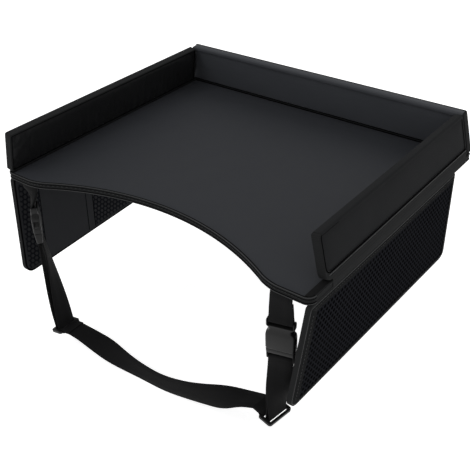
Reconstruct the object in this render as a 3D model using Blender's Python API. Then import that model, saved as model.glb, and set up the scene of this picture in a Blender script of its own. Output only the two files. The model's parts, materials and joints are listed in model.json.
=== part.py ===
# Car seat tray table
# A padded travel tray with three fold-up walls, two hanging side panels with
# mesh pockets, and a webbing strap held by two side-release buckles.
# Metres, +Z up. The origin is the centre of the tray's flat underside, +X is
# the child's left-to-right width of the tray and -Y is the child's side, where
# the belly cut-out is.

import math

import bmesh
import bpy
from mathutils import Matrix, Vector

# Running and seating gaps
SEAT_GAP = 0.0003
CUT_OVERRUN = 0.002

# Tray board and its covers
TRAY_WIDTH = 0.400
TRAY_DEPTH = 0.326
TRAY_THICKNESS = 0.008
TOP_COVER_THICKNESS = 0.0022
BOTTOM_COVER_THICKNESS = 0.0012
BELLY_HALF_WIDTH = 0.153
BELLY_DEPTH = 0.043
LOBE_FILLET = 0.006
FRONT_CORNER_RADIUS = 0.009
BACK_CORNER_RADIUS = 0.005
SEAM_CORNER_RADIUS = 0.001
ARC_STEPS = 6
BELLY_STEPS = 22

# Binding round the tray's edge, with a piping along its top and its bottom
EDGE_BINDING_THICKNESS = 0.0016
PIPING_RADIUS = 0.0010
PIPING_STEPS = 4

# Walls, measured along their own slanted faces
WALL_THICKNESS = 0.009
WALL_HEIGHT = 0.048
SIDE_WALL_LEAN_DEG = 11.5
BACK_WALL_LEAN_DEG = 4.8
LEFT_WALL_FRONT_SETBACK = 0.0015
RIGHT_WALL_FRONT_SETBACK = 0.025
WALL_COVER_THICKNESS = 0.0020
WALL_BINDING_THICKNESS = 0.0012
WALL_BINDING_LAP = 0.0022
WALL_FOOT_BAND_HEIGHT = 0.0075
WALL_FRONT_RADIUS = 0.0095
WALL_CORNER_RADIUS = 0.0025
WALL_PAD_ROUND = 0.006
WALL_PAD_RISE = 0.0009
WALL_PAD_SHOULDER_SHARE = 0.33

# Hook and loop patches that hold the wall corners together
PATCH_THICKNESS = 0.0008
PATCH_WIDTH = 0.0055
PATCH_HEIGHT = 0.026
PATCH_FOOT = 0.012
PATCH_GAP = 0.0006

# Side panels, which hang from the tray's lower edges
PANEL_DROP = 0.120
PANEL_INSET = 0.0014
PANEL_FRONT_SETBACK = 0.002
PANEL_BACK_SETBACK = 0.036
LEFT_PANEL_SWING_FRONT = 0.0025
RIGHT_PANEL_SWING_FRONT = 0.0145
PANEL_SWING_BACK = 0.0016
PANEL_FRONT_EXTRA_DROP = 0.006
PANEL_BACK_EXTRA_DROP = -0.0075
PANEL_FORWARD_LEAN = 0.010
PANEL_LINING_THICKNESS = 0.0008
PANEL_BOARD_THICKNESS = 0.0012
PANEL_COVER_THICKNESS = 0.0008
PANEL_MARGIN_THICKNESS = 0.0014
PANEL_BINDING_THICKNESS = 0.0014
PANEL_FRONT_RADIUS = 0.013
PANEL_BACK_RADIUS = 0.009
PANEL_TOP_RADIUS = 0.003
PANEL_MARGIN_FRONT = 0.014
PANEL_MARGIN_BACK = 0.008
PANEL_MARGIN_TOP = 0.009
PANEL_MARGIN_BOTTOM = 0.008
PANEL_TAPE_WIDTH = 0.012
PANEL_GRID_LONG = 8
PANEL_GRID_HIGH = 4

# Net of each mesh pocket
NET_THICKNESS = 0.0008
NET_STRAND = 0.0032
NET_GAPS_LONG = 17
NET_GAPS_HIGH = 7

# Webbing
WEBBING_WIDTH = 0.024
WEBBING_THICKNESS = 0.0012
WEBBING_EDGE_CLEARANCE = 0.0004
TWISTED_CELLS = 4
ANCHOR_SPACING = 0.334
ANCHOR_SETBACK = 0.0036
ANCHOR_TAB_LENGTH = 0.030
ANCHOR_FOLD_LENGTH = 0.005

# Side-release buckles
LEFT_BUCKLE_DROP = 0.056
RIGHT_BUCKLE_DROP = 0.064
SOCKET_LENGTH = 0.033
SOCKET_MOUTH_WIDTH = 0.028
SOCKET_NECK_WIDTH = 0.022
SOCKET_THICKNESS = 0.0098
SOCKET_WALL = 0.0016
SOCKET_CAVITY_DEPTH = 0.0195
SOCKET_EAR = 0.0017
SOCKET_WINDOW_FOOT = 0.0065
SOCKET_WINDOW_HEIGHT = 0.0095
BAR_RADIUS = 0.0014
PLUG_LENGTH = 0.0130
PLUG_FLANGE_HEIGHT = 0.0052
PLUG_THICKNESS = 0.0090
TONGUE_LENGTH = 0.0150
TONGUE_WIDTH = 0.0080
TONGUE_THICKNESS = 0.0030
ARM_LENGTH = 0.0160
ARM_WIDTH = 0.0026
ARM_THICKNESS = 0.0048
ARM_HOOK_REACH = 0.0023
ARM_HOOK_HEIGHT = 0.0050
LEFT_BUCKLE_TURN_DEG = -40.0
RIGHT_BUCKLE_TURN_DEG = 15.0

# Sliders at the two ends of the waist strap
SLIDER_WIDTH = 0.0315
SLIDER_LENGTH = 0.0170
SLIDER_THICKNESS = 0.0030
SLIDER_RAIL = 0.0028
SLIDER_CORNER_RADIUS = 0.003
LEFT_SLIDER_PLACE = (-0.146, -0.162, -0.187)
LEFT_SLIDER_TURN_DEG = -90.0
LEFT_SLIDER_TILT_DEG = 12.0
RIGHT_SLIDER_PLACE = (0.160, -0.160, -0.151)
RIGHT_SLIDER_TURN_DEG = 82.0
RIGHT_SLIDER_TILT_DEG = 8.0

# Shapes that every piece shares, as shares of the piece's own sizes
SECTION_CORNER_SHARE = 0.45
SECTION_STEPS = 3
BAR_SEGMENTS = 12
PIPING_ARC_DEG = 150.0
SOCKET_PROFILE_SHARES = (
    (0.00, 1.00, 0.94),
    (0.04, 1.03, 1.00),
    (0.48, 1.03, 1.00),
    (0.58, 0.99, 0.97),
    (0.65, 0.80, 0.93),
    (0.70, 0.75, 0.89),
    (0.75, 0.79, 0.86),
    (0.80, 0.99, 0.82),
    (0.96, 1.00, 0.74),
    (1.00, 0.97, 0.64),
)
PLUG_PROFILE_SHARES = (
    (0.00, 0.98, 0.62),
    (0.08, 1.00, 0.76),
    (0.60, 1.00, 0.90),
    (0.94, 1.02, 1.00),
    (1.00, 1.00, 0.96),
)
# The waist strap's sag: place along it, drop below the straight line and
# width angle, from the left slider to the right one
STRAP_SAG_SHARES = (
    (0.00, 0.00, 0.00),
    (0.06, 0.10, 0.06),
    (0.15, 0.32, 0.30),
    (0.26, 0.62, 0.66),
    (0.38, 0.86, 0.92),
    (0.50, 1.00, 1.00),
    (0.62, 0.92, 0.96),
    (0.74, 0.70, 0.78),
    (0.85, 0.40, 0.44),
    (0.94, 0.13, 0.12),
    (1.00, 0.00, 0.00),
)
STRAP_SAG = 0.031
STRAP_STEPS = 3
# Where the anchor webbing's two layers are drawn, between its tab and the socket's bar
ANCHOR_STATION_SHARES = (0.25, 0.35, 0.43, 0.50, 0.58, 0.65, 0.72, 0.78)
ANCHOR_PARTING_SHARE = 0.90
ANCHOR_MIDWAY_SHARE = 0.4
# Turns of webbing round a bar, and how an eye draws together behind its bar
BAR_TURN_STEPS = 6
EYE_START_DEG = 70.0
EYE_SWEEP_DEG = 220.0
EYE_NECK_SHARE = 2.0
EYE_LIFT_SHARE = 1.2
STRAP_EYE_LENGTH = 0.012
# Where the loops' two layers are drawn, and how far they stand apart
LOOP_STATION_SHARES = (0.06, 0.12, 0.20, 0.30, 0.40, 0.50, 0.60, 0.70, 0.80, 0.88, 0.94)
LOOP_PINCH_SHARE = 0.22
LEFT_LOOP_BULGE = 0.0022
RIGHT_LOOP_BULGE = 0.0004


def clear_scene():
    for obj in list(bpy.data.objects):
        bpy.data.objects.remove(obj, do_unlink=True)


def make_material(name, colour, roughness, metallic=0.0):
    made = bpy.data.materials.new(name)
    made.use_nodes = True
    shader = made.node_tree.nodes["Principled BSDF"]
    shader.inputs["Base Color"].default_value = (*colour, 1.0)
    shader.inputs["Roughness"].default_value = roughness
    shader.inputs["Metallic"].default_value = metallic
    return made


def finish_mesh(mesh, surface, smooth_angle_deg=32.0):
    mesh.materials.clear()
    mesh.materials.append(surface)
    mesh.shade_smooth()
    mesh.set_sharp_from_angle(angle=math.radians(smooth_angle_deg))


def add_piece(name, bm, surface, origin=(0.0, 0.0, 0.0)):
    """Turn world-space geometry into an object whose origin lies at origin."""
    pivot = Vector(origin)
    bmesh.ops.translate(bm, verts=bm.verts, vec=-pivot)
    bmesh.ops.recalc_face_normals(bm, faces=bm.faces)
    mesh = bpy.data.meshes.new(name)
    bm.to_mesh(mesh)
    bm.free()
    finish_mesh(mesh, surface)
    obj = bpy.data.objects.new(name, mesh)
    obj.location = pivot
    bpy.context.scene.collection.objects.link(obj)
    return obj


def add_copy(name, mesh, surface, place, origin=(0.0, 0.0, 0.0)):
    """Place a copy of a mesh by a matrix, with the object's origin at origin."""
    pivot = Vector(origin)
    copy = mesh.copy()
    copy.name = name
    copy.transform(Matrix.Translation(-pivot) @ place)
    finish_mesh(copy, surface)
    obj = bpy.data.objects.new(name, copy)
    obj.location = pivot
    bpy.context.scene.collection.objects.link(obj)
    return obj


def loft(rings, wrapped=False):
    """Bridge rings of equal count, with caps, or wrapped into a closed band."""
    bm = bmesh.new()
    rows = [[bm.verts.new(point) for point in ring] for ring in rings]
    count = len(rows[0])
    pairs = list(zip(rows, rows[1:]))
    if wrapped:
        pairs.append((rows[-1], rows[0]))
    for low, high in pairs:
        for i in range(count):
            j = (i + 1) % count
            bm.faces.new((low[i], low[j], high[j], high[i]))
    if not wrapped:
        bm.faces.new(rows[0][::-1])
        bm.faces.new(rows[-1])
    return bm


def blend_corner(start, corner, end, steps):
    """Quarter-ellipse points from start to end, tangent to both at corner."""
    points = []
    for i in range(steps + 1):
        turn = math.radians(90.0) * i / steps
        share_start = 1.0 - math.sin(turn)
        share_end = 1.0 - math.cos(turn)
        points.append(corner + (start - corner) * share_start + (end - corner) * share_end)
    return points


def rounded_polygon(corners, radii, steps=ARC_STEPS):
    """Outline of 2-D corners, each rounded by its own radius."""
    points = []
    count = len(corners)
    for i, corner in enumerate(corners):
        before = (corners[i - 1] - corner).normalized()
        after = (corners[(i + 1) % count] - corner).normalized()
        radius = max(radii[i], SEAM_CORNER_RADIUS)
        points += blend_corner(corner + before * radius, corner, corner + after * radius, steps)
    return points


# Tray

def tray_outline(side=0.0, back=0.0, front=0.0):
    """The tray's outline with its belly cut-out, inset on each side."""
    arc_radius = (BELLY_HALF_WIDTH ** 2 + BELLY_DEPTH ** 2) / (2.0 * BELLY_DEPTH)
    arc_centre = -TRAY_DEPTH / 2.0 + BELLY_DEPTH - arc_radius
    radius = arc_radius + front
    half = TRAY_WIDTH / 2.0 - side
    rear = TRAY_DEPTH / 2.0 - back
    lip = -TRAY_DEPTH / 2.0 + front
    tip = math.sqrt(radius ** 2 - (lip - arc_centre) ** 2)
    arc = []
    last = tip - LOBE_FILLET
    for i in range(BELLY_STEPS + 1):
        x = -last + 2.0 * last * i / BELLY_STEPS
        arc.append(Vector((x, arc_centre + math.sqrt(radius ** 2 - x ** 2))))
    back_radius = max(BACK_CORNER_RADIUS - max(side, back), SEAM_CORNER_RADIUS)
    front_radius = max(FRONT_CORNER_RADIUS - max(side, front), SEAM_CORNER_RADIUS)
    points = []
    for corner, before, after, round_off in (
        (Vector((half, rear)), Vector((0.0, -1.0)), Vector((-1.0, 0.0)), back_radius),
        (Vector((-half, rear)), Vector((1.0, 0.0)), Vector((0.0, -1.0)), back_radius),
        (Vector((-half, lip)), Vector((0.0, 1.0)), Vector((1.0, 0.0)), front_radius),
    ):
        start = corner + before * round_off
        points += blend_corner(start, corner, corner + after * round_off, ARC_STEPS)
    left_tip = Vector((-tip, lip))
    right_tip = Vector((tip, lip))
    reach = Vector((LOBE_FILLET, 0.0))
    points += blend_corner(left_tip - reach, left_tip, arc[0], ARC_STEPS)
    points += arc[1:-1]
    points += blend_corner(arc[-1], right_tip, right_tip + reach, ARC_STEPS)
    corner = Vector((half, lip))
    start = corner - Vector((front_radius, 0.0))
    points += blend_corner(start, corner, corner + Vector((0.0, front_radius)), ARC_STEPS)
    return points


def level(outline, z):
    return [Vector((point.x, point.y, z)) for point in outline]


def slab(outline, low, high):
    return loft([level(outline, low), level(outline, high)])


def box_outline(x0, x1, y0, y1, radii):
    corners = [Vector((x1, y1)), Vector((x0, y1)), Vector((x0, y0)), Vector((x1, y0))]
    return rounded_polygon(corners, radii)


def edge_inset():
    return EDGE_BINDING_THICKNESS + SEAT_GAP


def board_low():
    return BOTTOM_COVER_THICKNESS + SEAT_GAP


def board_high():
    return TRAY_THICKNESS - TOP_COVER_THICKNESS - SEAT_GAP


def tab_box(side):
    """Plan box of the webbing tab sewn under a front lobe."""
    centre = side * ANCHOR_SPACING / 2.0
    half = WEBBING_WIDTH / 2.0
    front = -TRAY_DEPTH / 2.0 + ANCHOR_SETBACK - WEBBING_THICKNESS / 2.0
    return centre - half, centre + half, front, front + ANCHOR_TAB_LENGTH


def build_tray(finishes):
    inset = edge_inset()
    wall_inset = WALL_THICKNESS
    tape_inset = inset + PANEL_TAPE_WIDTH + SEAT_GAP
    top_outline = tray_outline(side=wall_inset, back=wall_inset, front=inset)
    top_low = TRAY_THICKNESS - TOP_COVER_THICKNESS
    crown_low = TRAY_THICKNESS - PIPING_RADIUS / 2.0
    add_piece("tray_top_cover", loft([
        level(top_outline, top_low),
        level(top_outline, crown_low),
        level(tray_outline(wall_inset + PIPING_RADIUS, wall_inset + PIPING_RADIUS, inset + PIPING_RADIUS),
              TRAY_THICKNESS),
    ]), finishes["top"])
    add_piece("tray_board", slab(tray_outline(inset, inset, inset), board_low(), board_high()),
              finishes["board"])
    build_bottom_cover(finishes, tape_inset, inset)
    build_edge_binding(finishes)
    build_tapes(finishes, inset, wall_inset)


def build_bottom_cover(finishes, tape_inset, inset):
    """Bottom cover, cut back to the panel tapes and notched for the webbing tabs."""
    blank = slab(tray_outline(inset, inset, inset), 0.0, BOTTOM_COVER_THICKNESS)
    cutters = []
    for side in (-1.0, 1.0):
        near = side * (TRAY_WIDTH / 2.0 - tape_inset)
        far = side * (TRAY_WIDTH / 2.0 + CUT_OVERRUN)
        reach = TRAY_DEPTH / 2.0 + CUT_OVERRUN
        cutters.append(block(min(near, far), max(near, far), -reach, reach,
                             -CUT_OVERRUN, BOTTOM_COVER_THICKNESS + CUT_OVERRUN))
        x0, x1, y0, y1 = tab_box(side)
        notch = box_outline(x0 - SEAT_GAP, x1 + SEAT_GAP, y0 - ANCHOR_SETBACK - CUT_OVERRUN, y1 + SEAT_GAP,
                            [SEAM_CORNER_RADIUS] * 4)
        cutters.append(slab(notch, -CUT_OVERRUN, BOTTOM_COVER_THICKNESS + CUT_OVERRUN))
    add_copy("tray_bottom_cover", carve(blank, cutters), finishes["cover"], Matrix.Identity(4))
    for name, side in (("left_anchor_tab", -1.0), ("right_anchor_tab", 1.0)):
        x0, x1, y0, y1 = tab_box(side)
        tab = box_outline(x0, x1, y0, y1, [SEAM_CORNER_RADIUS] * 4)
        add_piece(name, slab(tab, 0.0, BOTTOM_COVER_THICKNESS), finishes["webbing"])


def build_edge_binding(finishes):
    """Band round the tray's edge, with a piping at its foot and at its top."""
    section = []
    for i in range(PIPING_STEPS + 1):
        turn = math.radians(-90.0 - PIPING_ARC_DEG * i / PIPING_STEPS)
        section.append((PIPING_RADIUS * (1.0 + math.cos(turn)), PIPING_RADIUS * (1.0 + math.sin(turn))))
    mirrored = [(depth, TRAY_THICKNESS - height) for depth, height in section[::-1]]
    ends = [(EDGE_BINDING_THICKNESS, TRAY_THICKNESS), (EDGE_BINDING_THICKNESS, 0.0)]
    rings = [level(tray_outline(depth, depth, depth), height) for depth, height in section + mirrored + ends]
    add_piece("tray_edge_binding", loft(rings, wrapped=True), finishes["binding"])


def build_tapes(finishes, inset, wall_inset):
    """Seam tapes that carry the walls on top and the panels underneath."""
    outer = TRAY_WIDTH / 2.0 - inset
    inner = TRAY_WIDTH / 2.0 - wall_inset + SEAT_GAP
    rear = TRAY_DEPTH / 2.0 - inset
    front = -TRAY_DEPTH / 2.0 + inset
    fold = TRAY_DEPTH / 2.0 - wall_inset + SEAT_GAP
    low = TRAY_THICKNESS - TOP_COVER_THICKNESS
    corner = FRONT_CORNER_RADIUS - inset
    # A wall tape is narrower than the tray's corner radius, so its corner is tighter and further back
    tight_corner = min(corner, outer - inner - SEAM_CORNER_RADIUS)
    tight_front = front + corner - tight_corner
    rear_corner = BACK_CORNER_RADIUS - inset
    small = SEAM_CORNER_RADIUS
    side_rear = fold - SEAT_GAP
    right_outline = box_outline(inner, outer, tight_front, side_rear, [small, small, small, tight_corner])
    left_outline = box_outline(-outer, -inner, tight_front, side_rear, [small, small, tight_corner, small])
    add_piece("right_wall_tape", slab(right_outline, low, TRAY_THICKNESS), finishes["tape"])
    add_piece("left_wall_tape", slab(left_outline, low, TRAY_THICKNESS), finishes["tape"])
    back_outline = box_outline(-outer, outer, fold, rear, [rear_corner, rear_corner, small, small])
    add_piece("back_wall_tape", slab(back_outline, low, TRAY_THICKNESS), finishes["tape"])
    tape_in = outer - PANEL_TAPE_WIDTH
    right_outline = box_outline(tape_in, outer, front, rear, [rear_corner, small, small, corner])
    left_outline = box_outline(-outer, -tape_in, front, rear, [small, rear_corner, corner, small])
    add_piece("right_panel_tape", slab(right_outline, 0.0, BOTTOM_COVER_THICKNESS), finishes["tape"])
    add_piece("left_panel_tape", slab(left_outline, 0.0, BOTTOM_COVER_THICKNESS), finishes["tape"])


def carve(blank, cutters, additions=()):
    """Cut and join closed shapes by exact Booleans, and return the mesh."""
    helpers = []

    def helper(bm, label):
        bmesh.ops.recalc_face_normals(bm, faces=bm.faces)
        mesh = bpy.data.meshes.new(label)
        bm.to_mesh(mesh)
        bm.free()
        obj = bpy.data.objects.new(label, mesh)
        obj.hide_render = True
        obj.display_type = "WIRE"
        bpy.context.scene.collection.objects.link(obj)
        helpers.append(obj)
        return obj

    base = helper(blank, "blank")
    for operation, shapes in (("DIFFERENCE", cutters), ("UNION", additions)):
        for shape in shapes:
            cut = base.modifiers.new(operation.lower(), "BOOLEAN")
            cut.object = helper(shape, "cutter")
            cut.operation = operation
            cut.solver = "EXACT"
    bpy.context.view_layer.update()
    graph = bpy.context.evaluated_depsgraph_get()
    mesh = bpy.data.meshes.new_from_object(base.evaluated_get(graph))
    for obj in helpers:
        bpy.data.objects.remove(obj, do_unlink=True)
    return mesh


# Walls

def side_wall_frame(side):
    """Hinge point and axes of a side wall: outward, along the tray, upward."""
    lean = math.radians(SIDE_WALL_LEAN_DEG)
    hinge = Vector((side * (TRAY_WIDTH / 2.0 - WALL_THICKNESS), 0.0, TRAY_THICKNESS + SEAT_GAP))
    outward = Vector((side * math.cos(lean), 0.0, math.sin(lean)))
    upward = Vector((-side * math.sin(lean), 0.0, math.cos(lean)))
    return hinge, outward, Vector((0.0, 1.0, 0.0)), upward


def back_wall_frame():
    """Hinge point and axes of the back wall, which folds out over its outer foot."""
    lean = math.radians(BACK_WALL_LEAN_DEG)
    lift = TRAY_THICKNESS + SEAT_GAP + WALL_THICKNESS * math.sin(lean)
    hinge = Vector((0.0, TRAY_DEPTH / 2.0 - SEAT_GAP, lift))
    outward = Vector((0.0, math.cos(lean), math.sin(lean)))
    upward = Vector((0.0, -math.sin(lean), math.cos(lean)))
    return hinge, outward, Vector((1.0, 0.0, 0.0)), upward


def back_wall_inner_y(height):
    """How far back the back wall's inner face lies at a height over the tray."""
    lean = math.radians(BACK_WALL_LEAN_DEG)
    hinge = back_wall_frame()[0]
    return hinge.y - WALL_THICKNESS / math.cos(lean) - (height - (hinge.z - TRAY_THICKNESS)) * math.tan(lean)


def side_wall_end(rise):
    """Where a side wall's back end lies, at a distance up its slanted face."""
    height = rise * math.cos(math.radians(SIDE_WALL_LEAN_DEG)) + SEAT_GAP
    patches = 2.0 * PATCH_THICKNESS + PATCH_GAP + 2.0 * SEAT_GAP
    return back_wall_inner_y(height) - patches


def placed(frame, outline, depth):
    """Lay a wall outline of (along, up) points at a depth through the wall."""
    hinge, outward, along, upward = frame
    return [hinge + outward * depth + along * point.x + upward * point.y for point in outline]


def wall_outline(quad, radii, sides=0.0, top=0.0, bottom=0.0):
    """Rounded outline of a wall, inset from its ends, its top and its foot."""
    foot0, foot1, top1, top0 = quad
    low = bottom / WALL_HEIGHT
    high = 1.0 - top / WALL_HEIGHT
    corners = [
        Vector((foot0 + (top0 - foot0) * low + sides, bottom)),
        Vector((foot1 + (top1 - foot1) * low - sides, bottom)),
        Vector((foot1 + (top1 - foot1) * high - sides, WALL_HEIGHT - top)),
        Vector((foot0 + (top0 - foot0) * high + sides, WALL_HEIGHT - top)),
    ]
    cut = max(sides, top)
    return rounded_polygon(corners, [radius - cut for radius in radii])


def build_wall(name, frame, quad, radii, depth0, finishes):
    """Core, two covers and a lapped binding of one wall."""
    lap = WALL_BINDING_LAP
    tight = WALL_BINDING_THICKNESS
    origin = frame[0]
    near = depth0
    far = depth0 + WALL_THICKNESS

    def ring(depth, inset, foot):
        return placed(frame, wall_outline(quad, radii, inset, inset, foot), depth)

    foot = WALL_FOOT_BAND_HEIGHT
    binding = [
        ring(near, 0.0, 0.0), ring(far, 0.0, 0.0),
        ring(far, lap, foot), ring(far - tight, lap, foot),
        ring(far - tight, tight, tight), ring(near + tight, tight, tight),
        ring(near + tight, lap, lap), ring(near, lap, lap),
    ]
    add_piece(name + "_binding", loft(binding, wrapped=True), finishes["binding"], origin)
    clear = lap + SEAT_GAP
    crown = clear + WALL_PAD_ROUND
    half = clear + WALL_PAD_ROUND / 2.0
    foot_clear = foot + SEAT_GAP
    thick = WALL_COVER_THICKNESS
    rise = WALL_PAD_RISE
    inner = [
        ring(near + thick, clear, clear), ring(near + rise, clear, clear),
        ring(near + rise * WALL_PAD_SHOULDER_SHARE, half, half), ring(near, crown, crown),
    ]
    add_piece(name + "_inner_cover", loft(inner), finishes["lining"], origin)
    outer = [
        ring(far - thick, clear, foot_clear), ring(far - rise, clear, foot_clear),
        ring(far - rise * WALL_PAD_SHOULDER_SHARE, half, foot_clear + WALL_PAD_ROUND / 2.0),
        ring(far, crown, foot_clear + WALL_PAD_ROUND),
    ]
    add_piece(name + "_outer_cover", loft(outer), finishes["cover"], origin)
    inset = tight + SEAT_GAP
    core = [ring(near + thick + SEAT_GAP, inset, inset), ring(far - thick - SEAT_GAP, inset, inset)]
    add_piece(name + "_core", loft(core), finishes["board"], origin)


def wall_quad(side):
    front = -TRAY_DEPTH / 2.0 + (LEFT_WALL_FRONT_SETBACK if side < 0 else RIGHT_WALL_FRONT_SETBACK)
    return front, side_wall_end(0.0), side_wall_end(WALL_HEIGHT), front


def back_wall_quad():
    """The back wall narrows upward with the lean of the side walls."""
    foot = TRAY_WIDTH / 2.0 - SEAT_GAP
    drawn_in = WALL_HEIGHT * math.sin(math.radians(SIDE_WALL_LEAN_DEG))
    return -foot, foot, foot - drawn_in, -foot + drawn_in


def build_walls(finishes):
    for name, side in (("left_wall", -1.0), ("right_wall", 1.0)):
        radii = [WALL_FRONT_RADIUS, WALL_CORNER_RADIUS, WALL_CORNER_RADIUS, WALL_CORNER_RADIUS]
        build_wall(name, side_wall_frame(side), wall_quad(side), radii, 0.0, finishes)
        build_hook_patch(name + "_hook_patch", side, finishes)
        build_loop_patch(("left" if side < 0 else "right") + "_loop_patch", side, finishes)
    build_wall("back_wall", back_wall_frame(), back_wall_quad(), [WALL_CORNER_RADIUS] * 4,
               -WALL_THICKNESS, finishes)


def patch_corners(side, offset):
    """Corners of a patch plane, offset behind a side wall's back end."""
    hinge, outward, along, upward = side_wall_frame(side)
    margin = (WALL_THICKNESS - PATCH_WIDTH) / 2.0
    corners = []
    for depth, rise in (
        (margin, PATCH_FOOT),
        (WALL_THICKNESS - margin, PATCH_FOOT),
        (WALL_THICKNESS - margin, PATCH_FOOT + PATCH_HEIGHT),
        (margin, PATCH_FOOT + PATCH_HEIGHT),
    ):
        corner = hinge + outward * depth + upward * rise
        corner.y = back_wall_inner_y(corner.z - TRAY_THICKNESS) + offset
        corners.append(corner)
    return corners


def build_hook_patch(name, side, finishes):
    front = -(SEAT_GAP + PATCH_THICKNESS + PATCH_GAP)
    rings = [patch_corners(side, front - PATCH_THICKNESS), patch_corners(side, front)]
    add_piece(name, loft(rings), finishes["hook_and_loop"], side_wall_frame(side)[0])


def build_loop_patch(name, side, finishes):
    rings = [patch_corners(side, -SEAT_GAP - PATCH_THICKNESS), patch_corners(side, -SEAT_GAP)]
    add_piece(name, loft(rings), finishes["hook_and_loop"], back_wall_frame()[0])


# Side panels

def panel_thickness():
    return (PANEL_LINING_THICKNESS + PANEL_BOARD_THICKNESS + PANEL_COVER_THICKNESS
            + PANEL_MARGIN_THICKNESS + 3.0 * SEAT_GAP)


def panel_hinge(side):
    """Middle of a panel's top edge, which is the line that it swings about."""
    reach = panel_thickness() / 2.0
    return Vector((side * (TRAY_WIDTH / 2.0 - PANEL_INSET - reach), 0.0, -SEAT_GAP - reach))


def panel_ends():
    return -TRAY_DEPTH / 2.0 + PANEL_FRONT_SETBACK, TRAY_DEPTH / 2.0 - PANEL_BACK_SETBACK


def panel_point(side, along, drop, depth):
    """World place of a point along, down and through a twisted panel that is deeper at its front."""
    front, back = panel_ends()
    hinge = panel_hinge(side)
    share = (along - front) / (back - front)
    down = max(drop, 0.0) / panel_drop()
    swing_front = LEFT_PANEL_SWING_FRONT if side < 0 else RIGHT_PANEL_SWING_FRONT
    inward = (swing_front + (PANEL_SWING_BACK - swing_front) * share) * down
    extra = (PANEL_FRONT_EXTRA_DROP + (PANEL_BACK_EXTRA_DROP - PANEL_FRONT_EXTRA_DROP) * share) * down
    forward = PANEL_FORWARD_LEAN * (1.0 - share) * down
    return Vector((hinge.x + side * (depth - inward), along - forward, hinge.z - drop - extra))


def panel_drop():
    """Length of a panel below the line that it hangs from."""
    return PANEL_DROP - SEAT_GAP - panel_thickness() / 2.0


def panel_outline(front_in=0.0, back_in=0.0, top_in=0.0, bottom_in=0.0):
    front, back = panel_ends()
    low = panel_drop() - bottom_in
    corners = [
        Vector((front + front_in, top_in)),
        Vector((back - back_in, top_in)),
        Vector((back - back_in, low)),
        Vector((front + front_in, low)),
    ]
    cut = max(front_in, bottom_in)
    radii = [PANEL_TOP_RADIUS - cut, PANEL_TOP_RADIUS - cut, PANEL_BACK_RADIUS - cut, PANEL_FRONT_RADIUS - cut]
    return rounded_polygon(corners, radii)


def twist_into_place(bm, side):
    for vert in bm.verts:
        vert.co = panel_point(side, vert.co.x, vert.co.y, vert.co.z)


def cut_into_cells(bm):
    """Divide flat layers alike, so that all of them take the same twist."""
    front, back = panel_ends()
    drop = panel_drop()
    planes = []
    for i in range(1, PANEL_GRID_LONG):
        along = front + (back - front) * i / PANEL_GRID_LONG
        planes.append((Vector((along, 0.0, 0.0)), Vector((1.0, 0.0, 0.0))))
    for i in range(1, PANEL_GRID_HIGH):
        planes.append((Vector((0.0, drop * i / PANEL_GRID_HIGH, 0.0)), Vector((0.0, 1.0, 0.0))))
    for point, normal in planes:
        geometry = bm.verts[:] + bm.edges[:] + bm.faces[:]
        bmesh.ops.bisect_plane(bm, geom=geometry, plane_co=point, plane_no=normal)
    bmesh.ops.triangulate(bm, faces=bm.faces[:])


def build_panel_layer(name, side, outline, low, high, surface):
    bm = slab(outline, low, high)
    cut_into_cells(bm)
    twist_into_place(bm, side)
    add_piece(name, bm, surface, panel_hinge(side))


def build_panel_margin(name, side, low, high, surface):
    """Smooth margin of cover fabric that frames the mesh pocket."""
    inset = PANEL_BINDING_THICKNESS + SEAT_GAP
    outer = panel_outline(inset, inset, inset, inset)
    inner = panel_window(0.0)
    rings = [level(outer, low), level(outer, high), level(inner, high), level(inner, low)]
    bm = loft(rings, wrapped=True)
    twist_into_place(bm, side)
    add_piece(name, bm, surface, panel_hinge(side))


def panel_window(inset):
    return panel_outline(PANEL_MARGIN_FRONT + inset, PANEL_MARGIN_BACK + inset,
                         PANEL_MARGIN_TOP + inset, PANEL_MARGIN_BOTTOM + inset)


def build_panel_binding(name, side, surface):
    """Bound edge of a panel, with a half-round top to swing on."""
    half = panel_thickness() / 2.0
    inset = PANEL_BINDING_THICKNESS
    rings = []
    for i in range(PIPING_STEPS + 1):
        turn = math.radians(-90.0 + 180.0 * i / PIPING_STEPS)
        bulge = -half * math.cos(turn)
        outline = panel_outline(0.0, 0.0, bulge, 0.0)
        rings.append(level(outline, half * math.sin(turn)))
    inner = panel_outline(inset, inset, inset, inset)
    rings += [level(inner, half), level(inner, -half)]
    bm = loft(rings, wrapped=True)
    twist_into_place(bm, side)
    add_piece(name, bm, surface, panel_hinge(side))


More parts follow.
